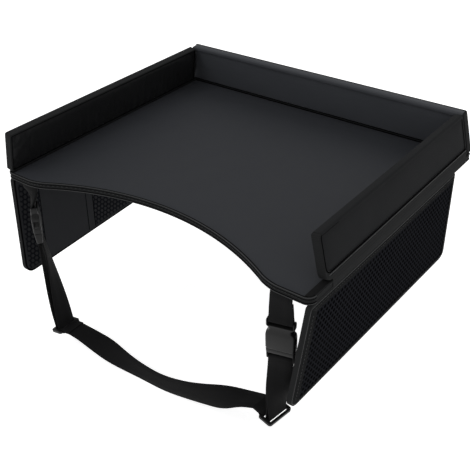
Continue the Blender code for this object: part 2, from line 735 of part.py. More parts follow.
def build_net(name, side, low, high, surface):
    """Flat net of the mesh pocket, with rectangular gaps between strands."""
    window = panel_window(SEAT_GAP)
    x0 = min(point.x for point in window)
    x1 = max(point.x for point in window)
    y0 = min(point.y for point in window)
    y1 = max(point.y for point in window)
    columns = strand_lines(x0, x1, NET_GAPS_LONG)
    rows = strand_lines(y0, y1, NET_GAPS_HIGH)
    bm = bmesh.new()
    corners = {}

    def corner(i, j, depth):
        key = (i, j, depth)
        if key not in corners:
            corners[key] = bm.verts.new((columns[i], rows[j], depth))
        return corners[key]

    def solid(i, j):
        inside = 0 <= i < len(columns) - 1 and 0 <= j < len(rows) - 1
        return inside and not (i % 2 and j % 2)

    for i in range(len(columns) - 1):
        for j in range(len(rows) - 1):
            if not solid(i, j):
                continue
            for depth in (low, high):
                bm.faces.new([corner(i, j, depth), corner(i + 1, j, depth),
                              corner(i + 1, j + 1, depth), corner(i, j + 1, depth)])
            for di, dj, a, b in ((-1, 0, (0, 0), (0, 1)), (1, 0, (1, 0), (1, 1)),
                                 (0, -1, (0, 0), (1, 0)), (0, 1, (0, 1), (1, 1))):
                if solid(i + di, j + dj):
                    continue
                bm.faces.new([corner(i + a[0], j + a[1], low), corner(i + b[0], j + b[1], low),
                              corner(i + b[0], j + b[1], high), corner(i + a[0], j + a[1], high)])
    twist_into_place(bm, side)
    add_piece(name, bm, surface, panel_hinge(side))


def strand_lines(start, end, gaps):
    """Edges of strands and gaps in turn, from one side of a net to the other."""
    pitch = (end - start - NET_STRAND) / gaps
    lines = []
    for i in range(gaps + 1):
        lines += [start + i * pitch, start + i * pitch + NET_STRAND]
    return lines


def build_panels(finishes):
    inset = PANEL_BINDING_THICKNESS + SEAT_GAP
    inner = panel_outline(inset, inset, inset, inset)
    for name, side in (("left_panel", -1.0), ("right_panel", 1.0)):
        depth = -panel_thickness() / 2.0
        for piece, thickness, surface in (
            ("lining", PANEL_LINING_THICKNESS, "lining"),
            ("board", PANEL_BOARD_THICKNESS, "board"),
            ("cover", PANEL_COVER_THICKNESS, "cover"),
        ):
            build_panel_layer(name + "_" + piece, side, inner, depth, depth + thickness, finishes[surface])
            depth += thickness + SEAT_GAP
        build_panel_margin(name + "_margin", side, depth, depth + PANEL_MARGIN_THICKNESS, finishes["cover"])
        build_net(name + "_mesh", side, depth, depth + NET_THICKNESS, finishes["mesh"])
        build_panel_binding(name + "_binding", side, finishes["binding"])


# Buckles

def rounded_section(half_width, half_depth, z):
    """Rounded rectangle across a moulding, at a height."""
    radius = half_depth * SECTION_CORNER_SHARE
    corners = [
        Vector((half_width, half_depth)), Vector((-half_width, half_depth)),
        Vector((-half_width, -half_depth)), Vector((half_width, -half_depth)),
    ]
    return level(rounded_polygon(corners, [radius] * 4, SECTION_STEPS), z)


def moulding(shares, width, depth, foot, length):
    """Loft a plastic moulding through its profile of shares."""
    rings = []
    for height, wide, thick in shares:
        rings.append(rounded_section(width * wide / 2.0, depth * thick / 2.0, foot + length * height))
    return loft(rings)


def block(x0, x1, y0, y1, z0, z1):
    bm = bmesh.new()
    bmesh.ops.create_cube(bm, size=1.0)
    bmesh.ops.scale(bm, verts=bm.verts, vec=(x1 - x0, y1 - y0, z1 - z0))
    bmesh.ops.translate(bm, verts=bm.verts, vec=((x0 + x1) / 2.0, (y0 + y1) / 2.0, (z0 + z1) / 2.0))
    return bm


def round_bar(length, radius, place):
    """A bar that lies across a moulding, along X."""
    bm = bmesh.new()
    bmesh.ops.create_cone(bm, cap_ends=True, segments=BAR_SEGMENTS, radius1=radius, radius2=radius, depth=length)
    turn = Matrix.Rotation(math.radians(90.0), 4, "Y")
    bmesh.ops.transform(bm, matrix=turn, verts=bm.verts)
    bmesh.ops.translate(bm, verts=bm.verts, vec=place)
    return bm


def slot_half():
    return WEBBING_WIDTH / 2.0 + WEBBING_EDGE_CLEARANCE


def eye_radius():
    """Middle radius of webbing that is wrapped round a bar."""
    return BAR_RADIUS + SEAT_GAP + WEBBING_THICKNESS / 2.0


def slot_height():
    """Room beside a bar for two layers of webbing."""
    return 2.0 * (WEBBING_THICKNESS + SEAT_GAP) + SEAT_GAP


def socket_bar_height():
    return SOCKET_LENGTH - BAR_RADIUS


def plug_bar_height():
    return -PLUG_LENGTH + BAR_RADIUS


def socket_mesh():
    """Female half: a flat shell, open at its mouth, with side windows and a bar."""
    over = CUT_OVERRUN
    inner_half = SOCKET_MOUTH_WIDTH / 2.0 - SOCKET_WALL
    inner_deep = SOCKET_THICKNESS / 2.0 - SOCKET_WALL
    blank = moulding(SOCKET_PROFILE_SHARES, SOCKET_MOUTH_WIDTH, SOCKET_THICKNESS, 0.0, SOCKET_LENGTH)
    cavity = block(-inner_half, inner_half, -inner_deep, inner_deep, -over, SOCKET_CAVITY_DEPTH)
    throat = SOCKET_NECK_WIDTH / 2.0 - SOCKET_WALL
    window_deep = ARM_THICKNESS / 2.0 + SEAT_GAP
    foot = SOCKET_WINDOW_FOOT
    outside = inner_half + over + SOCKET_WALL
    windows = [
        block(x0, x1, -window_deep, window_deep, foot, foot + SOCKET_WINDOW_HEIGHT)
        for x0, x1 in ((-outside, -throat), (throat, outside))
    ]
    slot_top = SOCKET_LENGTH + over
    slot_low = SOCKET_LENGTH - 2.0 * BAR_RADIUS - slot_height()
    half = slot_half()
    deep = SOCKET_THICKNESS
    slot = block(-half, half, -deep, deep, slot_low, slot_top)
    bar = round_bar(2.0 * half + SOCKET_EAR, BAR_RADIUS, (0.0, 0.0, socket_bar_height()))
    return carve(blank, [cavity] + windows + [slot], [bar])


def plug_mesh():
    """Male half without its arms: a flange, a guide tongue and a webbing bar."""
    blank = moulding(PLUG_PROFILE_SHARES, SOCKET_MOUTH_WIDTH, PLUG_THICKNESS, -PLUG_LENGTH,
                     PLUG_LENGTH - SEAT_GAP)
    half = slot_half()
    slot = block(-half, half, -PLUG_THICKNESS, PLUG_THICKNESS, -PLUG_LENGTH - CUT_OVERRUN, -PLUG_FLANGE_HEIGHT)
    bar = round_bar(2.0 * half + SOCKET_EAR, BAR_RADIUS, (0.0, 0.0, plug_bar_height()))
    tongue = block(-TONGUE_WIDTH / 2.0, TONGUE_WIDTH / 2.0, -TONGUE_THICKNESS / 2.0, TONGUE_THICKNESS / 2.0,
                   -PLUG_FLANGE_HEIGHT / 2.0, TONGUE_LENGTH)
    return carve(blank, [slot], [bar, tongue])


def arm_root():
    """Place across the buckle of an arm's middle, where it bends."""
    return SOCKET_MOUTH_WIDTH / 2.0 - SOCKET_WALL - SEAT_GAP - ARM_WIDTH / 2.0


def build_arm(name, side, place, surface):
    """One sprung arm, whose hook stands in the socket's side window."""
    inner = arm_root() - ARM_WIDTH / 2.0
    outer = arm_root() + ARM_WIDTH / 2.0
    shoulder = SOCKET_WINDOW_FOOT + SEAT_GAP
    hook = shoulder + ARM_HOOK_HEIGHT
    outline = [
        (inner, SEAT_GAP), (inner, ARM_LENGTH), (outer - ARM_WIDTH / 2.0, ARM_LENGTH),
        (outer, hook), (outer + ARM_HOOK_REACH, hook - ARM_HOOK_HEIGHT / 2.0),
        (outer + ARM_HOOK_REACH, shoulder), (outer, shoulder), (outer, SEAT_GAP),
    ]
    half = ARM_THICKNESS / 2.0
    rings = [[place @ Vector((side * x, depth, z)) for x, z in outline] for depth in (-half, half)]
    add_piece(name, loft(rings), surface, place @ Vector((side * arm_root(), 0.0, SEAT_GAP)))


def anchor_place(side):
    """Pivot of an anchor strap, just under its tab."""
    return Vector((side * ANCHOR_SPACING / 2.0, -TRAY_DEPTH / 2.0 + ANCHOR_SETBACK,
                   -SEAT_GAP - WEBBING_THICKNESS / 2.0))


def buckle_place(side):
    """Matrix of a buckle at its mouth, turned about the vertical."""
    turn = math.radians(LEFT_BUCKLE_TURN_DEG if side < 0 else RIGHT_BUCKLE_TURN_DEG)
    anchor = anchor_place(side)
    drop = LEFT_BUCKLE_DROP if side < 0 else RIGHT_BUCKLE_DROP
    return Matrix.Translation((anchor.x, anchor.y, -drop)) @ Matrix.Rotation(turn, 4, "Z")


# Webbing

def ribbon(stations, cells=1, closed=False, squared=False):
    """Flat webbing through stations of (centre, width direction), in cells across its width."""
    spread = [2.0 * i / cells - 1.0 for i in range(cells + 1)]
    rings = []
    count = len(stations)
    for i, (centre, across) in enumerate(stations):
        if closed:
            ahead, behind = stations[(i + 1) % count][0], stations[i - 1][0]
        else:
            ahead, behind = stations[min(i + 1, count - 1)][0], stations[max(i - 1, 0)][0]
        along = (ahead - behind).normalized()
        wide = across.normalized()
        if squared:
            wide = (across - along * across.dot(along)).normalized()
        half_w = wide * WEBBING_WIDTH / 2.0
        half_t = along.cross(wide).normalized() * WEBBING_THICKNESS / 2.0
        face = [centre + half_w * share - half_t for share in spread]
        back = [centre + half_w * share + half_t for share in reversed(spread)]
        rings.append(face + back)
    bm = loft(rings, wrapped=closed)
    # A twisted strip has bent four-sided faces, so its surface is fixed as triangles
    bmesh.ops.triangulate(bm, faces=bm.faces[:])
    return bm


def level_direction(turn_deg):
    turn = math.radians(turn_deg)
    return Vector((math.cos(turn), math.sin(turn), 0.0))


def ease(share):
    return share * share * (3.0 - 2.0 * share)


def build_anchor_webbing(name, side, surface):
    """Webbing folded round the socket's bar and sewn to itself above it."""
    top = anchor_place(side)
    place = buckle_place(side)
    bar = place @ Vector((0.0, 0.0, socket_bar_height()))
    turn = LEFT_BUCKLE_TURN_DEG if side < 0 else RIGHT_BUCKLE_TURN_DEG
    radius = eye_radius()
    layer = (WEBBING_THICKNESS + SEAT_GAP) / 2.0
    straight = top.z - bar.z

    def station(share, offset):
        across = level_direction(turn * ease(share))
        normal = Vector((-across.y, across.x, 0.0))
        centre = top.lerp(bar, share) + normal * offset
        return centre, across

    fold = ANCHOR_FOLD_LENGTH / straight
    midway = station(fold / 2.0, layer * ANCHOR_MIDWAY_SHARE)
    stations = [station(0.0, 0.0), midway, station(fold, layer)]
    for share in ANCHOR_STATION_SHARES:
        stations.append(station(share, layer))
    stations.append(station(ANCHOR_PARTING_SHARE, (layer + radius) / 2.0))
    stations += bar_turn(bar, turn, radius, 1.0)
    stations.append(station(ANCHOR_PARTING_SHARE, -(layer + radius) / 2.0))
    for share in reversed(ANCHOR_STATION_SHARES):
        stations.append(station(share, -layer))
    add_piece(name, ribbon(stations, TWISTED_CELLS), surface, top)


def bar_turn(bar, turn_deg, radius, downward):
    """Stations of a half turn round a bar, from its +normal to its -normal side."""
    across = level_direction(turn_deg)
    normal = Vector((-across.y, across.x, 0.0))
    stations = []
    for i in range(BAR_TURN_STEPS + 1):
        angle = math.radians(180.0) * i / BAR_TURN_STEPS
        centre = bar + normal * (radius * math.cos(angle))
        centre.z -= downward * radius * math.sin(angle)
        stations.append((centre, across))
    return stations


def slider_matrix(side):
    """Slider axes: X along its bars, Y towards the waist strap, Z upward."""
    turn_deg = LEFT_SLIDER_TURN_DEG if side < 0 else RIGHT_SLIDER_TURN_DEG
    tilt_deg = LEFT_SLIDER_TILT_DEG if side < 0 else RIGHT_SLIDER_TILT_DEG
    across = level_direction(turn_deg)
    towards = Vector((-across.y, across.x, 0.0))
    upward = across.cross(towards)
    tilt = Matrix.Rotation(math.radians(tilt_deg), 4, across)
    rotation = Matrix((across, towards, upward)).transposed().to_4x4()
    spot = Vector(LEFT_SLIDER_PLACE if side < 0 else RIGHT_SLIDER_PLACE)
    return Matrix.Translation(spot) @ tilt @ rotation


def outer_bar_offset():
    return SLIDER_LENGTH / 2.0 - BAR_RADIUS


def slider_mesh():
    """Flat frame with a middle bar for the loop and an end bar for the strap."""
    half_w = SLIDER_WIDTH / 2.0
    half_l = SLIDER_LENGTH / 2.0
    half_t = SLIDER_THICKNESS / 2.0
    outline = box_outline(-half_w, half_w, -half_l, half_l, [SLIDER_CORNER_RADIUS] * 4)
    blank = slab(outline, -half_t, half_t)
    half = slot_half()
    opening = half_l - SLIDER_RAIL
    hole = block(-half, half, -opening, half_l + CUT_OVERRUN, -SLIDER_THICKNESS, SLIDER_THICKNESS)
    bars = [
        round_bar(2.0 * half + SOCKET_EAR, BAR_RADIUS, (0.0, middle_bar_offset(), 0.0)),
        round_bar(2.0 * half + SOCKET_EAR, BAR_RADIUS, (0.0, outer_bar_offset(), 0.0)),
    ]
    return carve(blank, [hole], bars)


def middle_bar_offset():
    """The middle bar leaves room for webbing between it and the end rail."""
    return -SLIDER_LENGTH / 2.0 + SLIDER_RAIL + slot_height() + BAR_RADIUS


def build_loop_webbing(name, side, surface):
    """Closed loop of webbing from the plug's bar down to the slider's middle bar."""
    place = buckle_place(side)
    high = place @ Vector((0.0, 0.0, plug_bar_height()))
    low = slider_matrix(side) @ Vector((0.0, middle_bar_offset(), 0.0))
    high_turn = LEFT_BUCKLE_TURN_DEG if side < 0 else RIGHT_BUCKLE_TURN_DEG
    low_turn = LEFT_SLIDER_TURN_DEG if side < 0 else RIGHT_SLIDER_TURN_DEG
    radius = eye_radius()
    bulge = LEFT_LOOP_BULGE if side < 0 else RIGHT_LOOP_BULGE
    layer = (WEBBING_THICKNESS + SEAT_GAP) / 2.0 + bulge
    run = []
    for share in LOOP_STATION_SHARES:
        centre = high.lerp(low, share)
        across = level_direction(high_turn + (low_turn - high_turn) * ease(share))
        pinch = min(1.0, min(share, 1.0 - share) / LOOP_PINCH_SHARE)
        gap = radius + (layer - radius) * ease(pinch)
        run.append((centre, across, Vector((-across.y, across.x, 0.0)), gap))
    down = [(centre - normal * gap, across) for centre, across, normal, gap in run]
    up = [(centre + normal * gap, across) for centre, across, normal, gap in reversed(run)]
    over_top = bar_turn(high, high_turn, radius, -1.0)
    under_foot = bar_turn(low, low_turn, radius, 1.0)[::-1]
    stations = over_top + down + under_foot + up
    add_piece(name, ribbon(stations, TWISTED_CELLS, closed=True), surface, anchor_place(side))


def finer_rows(rows, steps):
    """Smooth rows of shares, with steps new rows to each old one."""
    made = []
    for i in range(len(rows) - 1):
        before, start = rows[max(i - 1, 0)], rows[i]
        end, after = rows[i + 1], rows[min(i + 2, len(rows) - 1)]
        for k in range(steps):
            made.append(between_rows(before, start, end, after, k / steps))
    made.append(rows[-1])
    return made


def between_rows(before, start, end, after, share):
    """Catmull-Rom value of each column, a share of the way from start to end."""
    values = []
    for a, b, c, d in zip(before, start, end, after):
        curve = (2.0 * a - 5.0 * b + 4.0 * c - d) * share ** 2 + (3.0 * b - a - 3.0 * c + d) * share ** 3
        values.append(b + ((c - a) * share + curve) / 2.0)
    return tuple(values)


def build_waist_strap(surface):
    """One strap between the sliders, sagging, with an eye round each end bar."""
    left = slider_matrix(-1.0) @ Vector((0.0, outer_bar_offset(), 0.0))
    right = slider_matrix(1.0) @ Vector((0.0, outer_bar_offset(), 0.0))
    radius = eye_radius()
    layer = (WEBBING_THICKNESS + SEAT_GAP) / 2.0
    left_axes = slider_matrix(-1.0).to_3x3()
    right_axes = slider_matrix(1.0).to_3x3()
    towards_left = left_axes.col[1]
    towards_right = right_axes.col[1]
    start = left + towards_left * STRAP_EYE_LENGTH
    end = right + towards_right * STRAP_EYE_LENGTH
    across_left = level_direction(LEFT_SLIDER_TURN_DEG)
    across_right = -level_direction(RIGHT_SLIDER_TURN_DEG)
    stations = eye_stations(left, towards_left, left_axes.col[2], across_left, radius, layer)
    for share, drop, stand in finer_rows(STRAP_SAG_SHARES, STRAP_STEPS):
        centre = start.lerp(end, share)
        centre.z -= STRAP_SAG * drop + layer * (1.0 - drop)
        level_across = across_left.lerp(across_right, share).normalized()
        across = (level_across * (1.0 - stand) + Vector((0.0, 0.0, -1.0)) * stand).normalized()
        stations.append((centre, across))
    stations += eye_stations(right, towards_right, right_axes.col[2], across_right, radius, layer)[::-1]
    add_piece("waist_strap", ribbon(stations, squared=True), surface, anchor_place(1.0))


def eye_stations(bar, towards, upward, across, radius, layer):
    """A short tail over a bar and round it, ending under the bar."""
    tail = bar + towards * STRAP_EYE_LENGTH
    neck = bar + towards * radius * EYE_NECK_SHARE
    lift = upward * layer * EYE_LIFT_SHARE
    stations = [(tail + upward * layer, across), (neck + lift, across)]
    for i in range(BAR_TURN_STEPS + 1):
        angle = math.radians(EYE_START_DEG + EYE_SWEEP_DEG * i / BAR_TURN_STEPS)
        centre = bar + towards * (radius * math.cos(angle)) + upward * (radius * math.sin(angle))
        stations.append((centre, across))
    stations.append((neck - lift, across))
    return stations


def build_straps(finishes):
    socket = socket_mesh()
    plug = plug_mesh()
    slider = slider_mesh()
    for name, side in (("left", -1.0), ("right", 1.0)):
        place = buckle_place(side)
        pivot = anchor_place(side)
        build_anchor_webbing(name + "_anchor_webbing", side, finishes["webbing"])
        add_copy(name + "_buckle_socket", socket, finishes["plastic"], place, pivot)
        add_copy(name + "_buckle_plug", plug, finishes["plastic"], place, pivot)
        build_arm(name + "_plug_arm_inner", -side, place, finishes["plastic"])
        build_arm(name + "_plug_arm_outer", side, place, finishes["plastic"])
        build_loop_webbing(name + "_loop_webbing", side, finishes["webbing"])
        add_copy(name + "_slider", slider, finishes["plastic"], slider_matrix(side), pivot)
    build_waist_strap(finishes["webbing"])


def main():
    clear_scene()
    finishes = {
        "top": make_material("coated_top", (0.034, 0.036, 0.041), 0.62),
        "cover": make_material("cover_fabric", (0.018, 0.018, 0.019), 0.80),
        "lining": make_material("lining_fabric", (0.022, 0.022, 0.024), 0.85),
        "binding": make_material("binding_tape", (0.034, 0.035, 0.035), 0.85),
        "tape": make_material("seam_tape", (0.015, 0.015, 0.016), 0.90),
        "board": make_material("stiffening_board", (0.25, 0.25, 0.24), 0.70),
        "mesh": make_material("pocket_mesh", (0.020, 0.020, 0.022), 0.75),
        "hook_and_loop": make_material("hook_and_loop", (0.010, 0.010, 0.010), 0.95),
        "webbing": make_material("webbing", (0.013, 0.013, 0.014), 0.80),
        "plastic": make_material("buckle_plastic", (0.020, 0.020, 0.020), 0.38),
    }
    build_tray(finishes)
    build_walls(finishes)
    build_panels(finishes)
    build_straps(finishes)


main()
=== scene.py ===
# %% [markdown]
# # A car seat tray table
# The object is a padded travel tray with a belly cut-out, three walls, two hanging side
# panels with mesh pockets, and a strap with two buckles. Its solids are already made, so
# they are loaded first, and every piece below is laid over the solid that it stands for.
# Starting from the solids was chosen because each piece then has the right size and place.

# %% Load the solids
import json
import math

import bpy
from mathutils import Matrix, Vector


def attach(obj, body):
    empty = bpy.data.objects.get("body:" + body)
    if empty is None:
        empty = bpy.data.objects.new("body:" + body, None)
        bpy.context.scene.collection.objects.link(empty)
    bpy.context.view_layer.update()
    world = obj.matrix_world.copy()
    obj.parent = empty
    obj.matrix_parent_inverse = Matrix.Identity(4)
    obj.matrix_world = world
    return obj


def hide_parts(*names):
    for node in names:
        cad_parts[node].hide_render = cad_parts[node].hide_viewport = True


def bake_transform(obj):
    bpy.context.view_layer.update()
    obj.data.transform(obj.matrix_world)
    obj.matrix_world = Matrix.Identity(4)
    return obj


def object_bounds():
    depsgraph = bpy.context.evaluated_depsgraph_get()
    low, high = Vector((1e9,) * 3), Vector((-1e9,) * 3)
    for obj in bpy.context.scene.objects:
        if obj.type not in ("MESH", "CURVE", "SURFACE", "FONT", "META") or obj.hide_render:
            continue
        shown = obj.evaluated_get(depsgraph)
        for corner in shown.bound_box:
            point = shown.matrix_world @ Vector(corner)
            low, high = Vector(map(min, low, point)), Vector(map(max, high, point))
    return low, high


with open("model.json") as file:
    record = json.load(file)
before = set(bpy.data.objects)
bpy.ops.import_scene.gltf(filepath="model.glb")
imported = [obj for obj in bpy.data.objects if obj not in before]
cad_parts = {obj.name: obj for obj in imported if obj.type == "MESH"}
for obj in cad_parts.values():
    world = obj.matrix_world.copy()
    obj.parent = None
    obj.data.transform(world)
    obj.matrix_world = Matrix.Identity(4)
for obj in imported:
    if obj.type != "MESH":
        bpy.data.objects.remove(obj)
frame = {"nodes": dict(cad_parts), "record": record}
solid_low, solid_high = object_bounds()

# %% [markdown]
# ## Camera, floor and light
# A studio photograph has a pale sweep and large soft lamps. The camera stands at the angle
# of the photograph, a little to the right of the front and well above. A long lens was
# chosen, because the sides of the tray draw together only slightly.

# %% Camera
AZIMUTH = math.radians(38.64)
ELEVATION = math.radians(33.46)
ROLL = math.radians(-2.06)
LOOK_AT = Vector((0.0, -0.0124, -0.0828))
DISTANCE = 0.9215
FOCAL_LENGTH, NEAREST = 60.85, 0.01

toward_camera = Vector((math.sin(AZIMUTH) * math.cos(ELEVATION),
                        -math.cos(AZIMUTH) * math.cos(ELEVATION), math.sin(ELEVATION)))
level_right = Vector((math.cos(AZIMUTH), math.sin(AZIMUTH), 0.0))
level_up = toward_camera.cross(level_right)
camera_right = level_right * math.cos(ROLL) + level_up * math.sin(ROLL)
camera_up = level_up * math.cos(ROLL) - level_right * math.sin(ROLL)

bpy.ops.object.select_all(action="DESELECT")
bpy.ops.object.camera_add(location=LOOK_AT + toward_camera * DISTANCE)
camera = bpy.context.object
camera.rotation_euler = Matrix((camera_right, camera_up, toward_camera)).transposed().to_euler()
camera.data.lens = FOCAL_LENGTH
camera.data.clip_start = NEAREST
bpy.context.scene.camera = camera
bpy.context.scene.view_settings.view_transform = "Standard"
print("camera at", [round(c, 3) for c in camera.location])

# %% [markdown]
# ## A small language for finishes
# A finish is a net of nodes, and sums in it are hard to read as links. One small class
# wraps a socket, so that a finish can be written as an ordinary sum in Python. A Mix node
# has several sockets of one name, so its colours are known by their numbers.

# %% Sums of sockets
MIX_DARK, MIX_LIGHT, MIX_RESULT = 6, 7, 2
OBJECT_PLACE = 3


class Wire:
    """A socket that takes part in sums, each of which adds its node."""

    def __init__(self, tree, socket=None):
        self.tree = tree
        self.socket = socket

    def node(self, kind, settings=None, sockets=None, out=0):
        made = self.tree.nodes.new(kind)
        for key, value in (settings or {}).items():
            setattr(made, key, value)
        for key, value in (sockets or {}).items():
            if isinstance(value, Wire):
                self.tree.links.new(value.socket, made.inputs[key])
            else:
                made.inputs[key].default_value = value
        return Wire(self.tree, made.outputs[out])

    def math(self, operation, *values):
        return self.node("ShaderNodeMath", {"operation": operation}, dict(enumerate(values)))

    def __add__(self, other):
        return self.math("ADD", self, other)

    def __sub__(self, other):
        return self.math("SUBTRACT", self, other)

    def __rsub__(self, other):
        return self.math("SUBTRACT", other, self)

    def __mul__(self, other):
        return self.math("MULTIPLY", self, other)

    __radd__ = __add__
    __rmul__ = __mul__

    def wave(self):
        return self.math("SINE", self)

    def between(self, dark, light):
        """A colour that goes from dark to light as the value goes from 0 to 1."""
        return self.node("ShaderNodeMix", {"data_type": "RGBA", "clamp_factor": True},
                         {"Factor": self, MIX_DARK: (*dark, 1.0), MIX_LIGHT: (*light, 1.0)}, out=MIX_RESULT)

    def noise(self, scale, detail):
        """Cloudy noise on the piece's own place, so that it stays on the piece."""
        place = self.node("ShaderNodeTexCoord", out=OBJECT_PLACE)
        return self.node("ShaderNodeTexNoise", {}, {"Vector": place, "Scale": scale, "Detail": detail})


def new_finish(name):
    """An empty finish, its shader, and a wire to start sums with."""
    made = bpy.data.materials.new(name)
    made.use_nodes = True
    return made, made.node_tree.nodes["Principled BSDF"], Wire(made.node_tree)


def plug_in(shader, wire, **sockets):
    for name, value in sockets.items():
        wire.tree.links.new(value.socket, shader.inputs[name.replace("_", " ")])

# %% [markdown]
# ## Woven cloth
# The covers, linings and tapes are woven. Two crossed waves give the over and under of the
# threads, and a coarse noise gives the slight unevenness of worn cloth. The waves also make
# the colour darker in the hollows between threads and lighter on the crossings, which is
# painted shade and light. The waves follow the piece's own UV map, which is in metres, so
# the threads run along the piece.

# %% Woven finishes
TURN = 2.0 * math.pi
CLOUD_SCALE, FIBRE_SCALE = 60.0, 1400.0
SHEEN = 0.02
FINISHES = {}


def woven(name, colour, thread, roughness, depth, spread=0.25, ribbed=False, gloss=0.08):
    """A cloth with threads this far apart, whose crossings stand this high."""
    FINISHES[name], shader, wire = new_finish(name)
    place = wire.node("ShaderNodeUVMap", {"uv_map": "cloth"})
    split = wire.node("ShaderNodeSeparateXYZ", {}, {0: place})
    along = split
    across = Wire(wire.tree, split.socket.node.outputs[1])
    warp = (along * (TURN / thread)).wave()
    weft = (across * (TURN / thread)).wave()
    height = warp * 0.5 + 0.5 if ribbed else warp * weft * 0.5 + 0.5
    cloud = wire.noise(CLOUD_SCALE, 4.0)
    fibre = wire.noise(FIBRE_SCALE, 2.0)
    # Painted shade: the colour follows the weave's height and is darker in its hollows; the two noises are
    # the cloth's own uneven tone.
    painted_shade_and_tone = height * 0.45 + cloud * 0.35 + fibre * 0.2
    dark = [c * (1.0 - spread) for c in colour]
    light = [c * (1.0 + spread) for c in colour]
    bump = wire.node("ShaderNodeBump", {}, {"Strength": 0.5, "Distance": depth,
                                            "Height": height + fibre * 0.6})
    plug_in(shader, wire, Base_Color=painted_shade_and_tone.between(dark, light), Normal=bump,
            Roughness=cloud * 0.12 + (roughness - 0.06))
    shader.inputs["Sheen Weight"].default_value = SHEEN
    shader.inputs["Specular IOR Level"].default_value = gloss


woven("coated_top", (0.029, 0.031, 0.036), 0.0011, 0.55, 0.00008, 0.12, gloss=0.16)
woven("cover_fabric", (0.013, 0.0135, 0.0145), 0.0010, 0.80, 0.00012)
woven("lining_fabric", (0.020, 0.021, 0.024), 0.0010, 0.70, 0.00012, gloss=0.14)
woven("binding_tape", (0.0165, 0.017, 0.0175), 0.0016, 0.85, 0.00020, ribbed=True)
# The near-black seam colour is also laid as painted shade: cords in gaps and grooves, and sheets behind the
# nets.
woven("seam_tape", (0.0016, 0.0016, 0.0019), 0.0012, 0.90, 0.00012, gloss=0.0)
woven("hook_and_loop", (0.008, 0.008, 0.008), 0.0008, 0.95, 0.00030)
woven("webbing", (0.0088, 0.0088, 0.0092), 0.0013, 0.80, 0.00022)
woven("pocket_mesh", (0.0125, 0.0133, 0.0165), 0.0007, 0.80, 0.00010, gloss=0.0)
# A lighter, glossier copy of the tape colour: a painted highlight on pipings and stitches.
woven("bright_piping", (0.042, 0.043, 0.044), 0.0012, 0.60, 0.00012, gloss=0.30)
# A darker copy of the lining: painted shade on the side walls' inner faces.
woven("painted_shade_lining", (0.0068, 0.0070, 0.0076), 0.0010, 0.50, 0.00016, gloss=0.26)
# A lighter copy of the lining: painted light on the back wall's inner face and over its top.
woven("painted_light_lining", (0.050, 0.053, 0.060), 0.0010, 0.50, 0.00010, 0.12, gloss=0.22)
woven("dark_margin", (0.0085, 0.0087, 0.0092), 0.0010, 0.80, 0.00012, gloss=0.02)
print("cloths", len(FINISHES))

# %% [markdown]
# ## Moulded plastic
# The buckles and sliders are satin black plastic. Fine noise stands for the spark texture
# of the mould, and a slower one makes the gloss uneven, as handling does. Noise was chosen
# over a wave because a mould's texture has no direction.

# %% Plastic finishes
GRAIN_SCALE, WEAR_SCALE = 2600.0, 90.0
GRAIN_DEPTH, PLASTIC_GLOSS = 0.00005, 0.22


def moulded(name, colour, roughness):
    FINISHES[name], shader, wire = new_finish(name)
    grain = wire.noise(GRAIN_SCALE, 1.0)
    wear = wire.noise(WEAR_SCALE, 3.0)
    bump = wire.node("ShaderNodeBump", {}, {"Strength": 0.35, "Distance": GRAIN_DEPTH, "Height": grain})
    plug_in(shader, wire, Base_Color=wear.between([c * 0.85 for c in colour], [c * 1.25 for c in colour]),
            Roughness=wear * 0.16 + (roughness - 0.08), Normal=bump)
    shader.inputs["Specular IOR Level"].default_value = PLASTIC_GLOSS


moulded("buckle_plastic", (0.0060, 0.0060, 0.0062), 0.42)
moulded("stiffening_board", (0.25, 0.25, 0.24), 0.70)
for part in frame["record"]["subparts"]:
    mesh = frame["nodes"][part["node"]].data
    mesh.materials.clear()
    mesh.materials.append(FINISHES[part["material_slot"]])
print("finishes", len(FINISHES))

# %% [markdown]
# ## Floor and lamps
# The floor is white to the camera and in reflections, but is an ordinary pale surface to the
# lamps. More light would whiten it too, but it would also bleach the black cloth. Three large
# lamps and a plain sky light the object.

# %% Floor and lamps
WHITE, FLOOR_GREY = (1.0, 1.0, 1.0, 1.0), (0.86, 0.86, 0.86, 1.0)
FLOOR_GLOW, FLOOR_SIZE, FLOOR_DROP = 0.74, 12.0, 0.001
SKY_LIGHT, SKY_SEEN = 0.50, 0.50
LAMPS = (("key_lamp", (-0.7, -1.2, 1.5), 1.2, 8.4), ("fill_lamp", (1.4, -0.7, 0.9), 1.4, 3.0),
         ("back_lamp", (0.2, 1.5, 1.3), 1.2, 5.0))


def studio_sheet(name, glow):
    made, shader, wire = new_finish(name)
    shader.inputs["Base Color"].default_value = FLOOR_GREY
    shader.inputs["Roughness"].default_value = 0.9
    shader.inputs["Emission Color"].default_value = WHITE
    ray = wire.node("ShaderNodeLightPath")
    seen = [Wire(wire.tree, ray.socket.node.outputs[kind])
            for kind in ("Is Camera Ray", "Is Glossy Ray", "Is Transmission Ray")]
    wire.tree.links.new(((seen[0] + seen[1] + seen[2]) * glow).socket, shader.inputs["Emission Strength"])
    return made


bpy.ops.object.select_all(action="DESELECT")
bpy.ops.mesh.primitive_plane_add(size=FLOOR_SIZE, location=(0.0, 0.0, solid_low.z - FLOOR_DROP))
floor = bpy.context.object
floor.name = "studio_floor"
floor.data.materials.append(studio_sheet("studio_floor", FLOOR_GLOW))

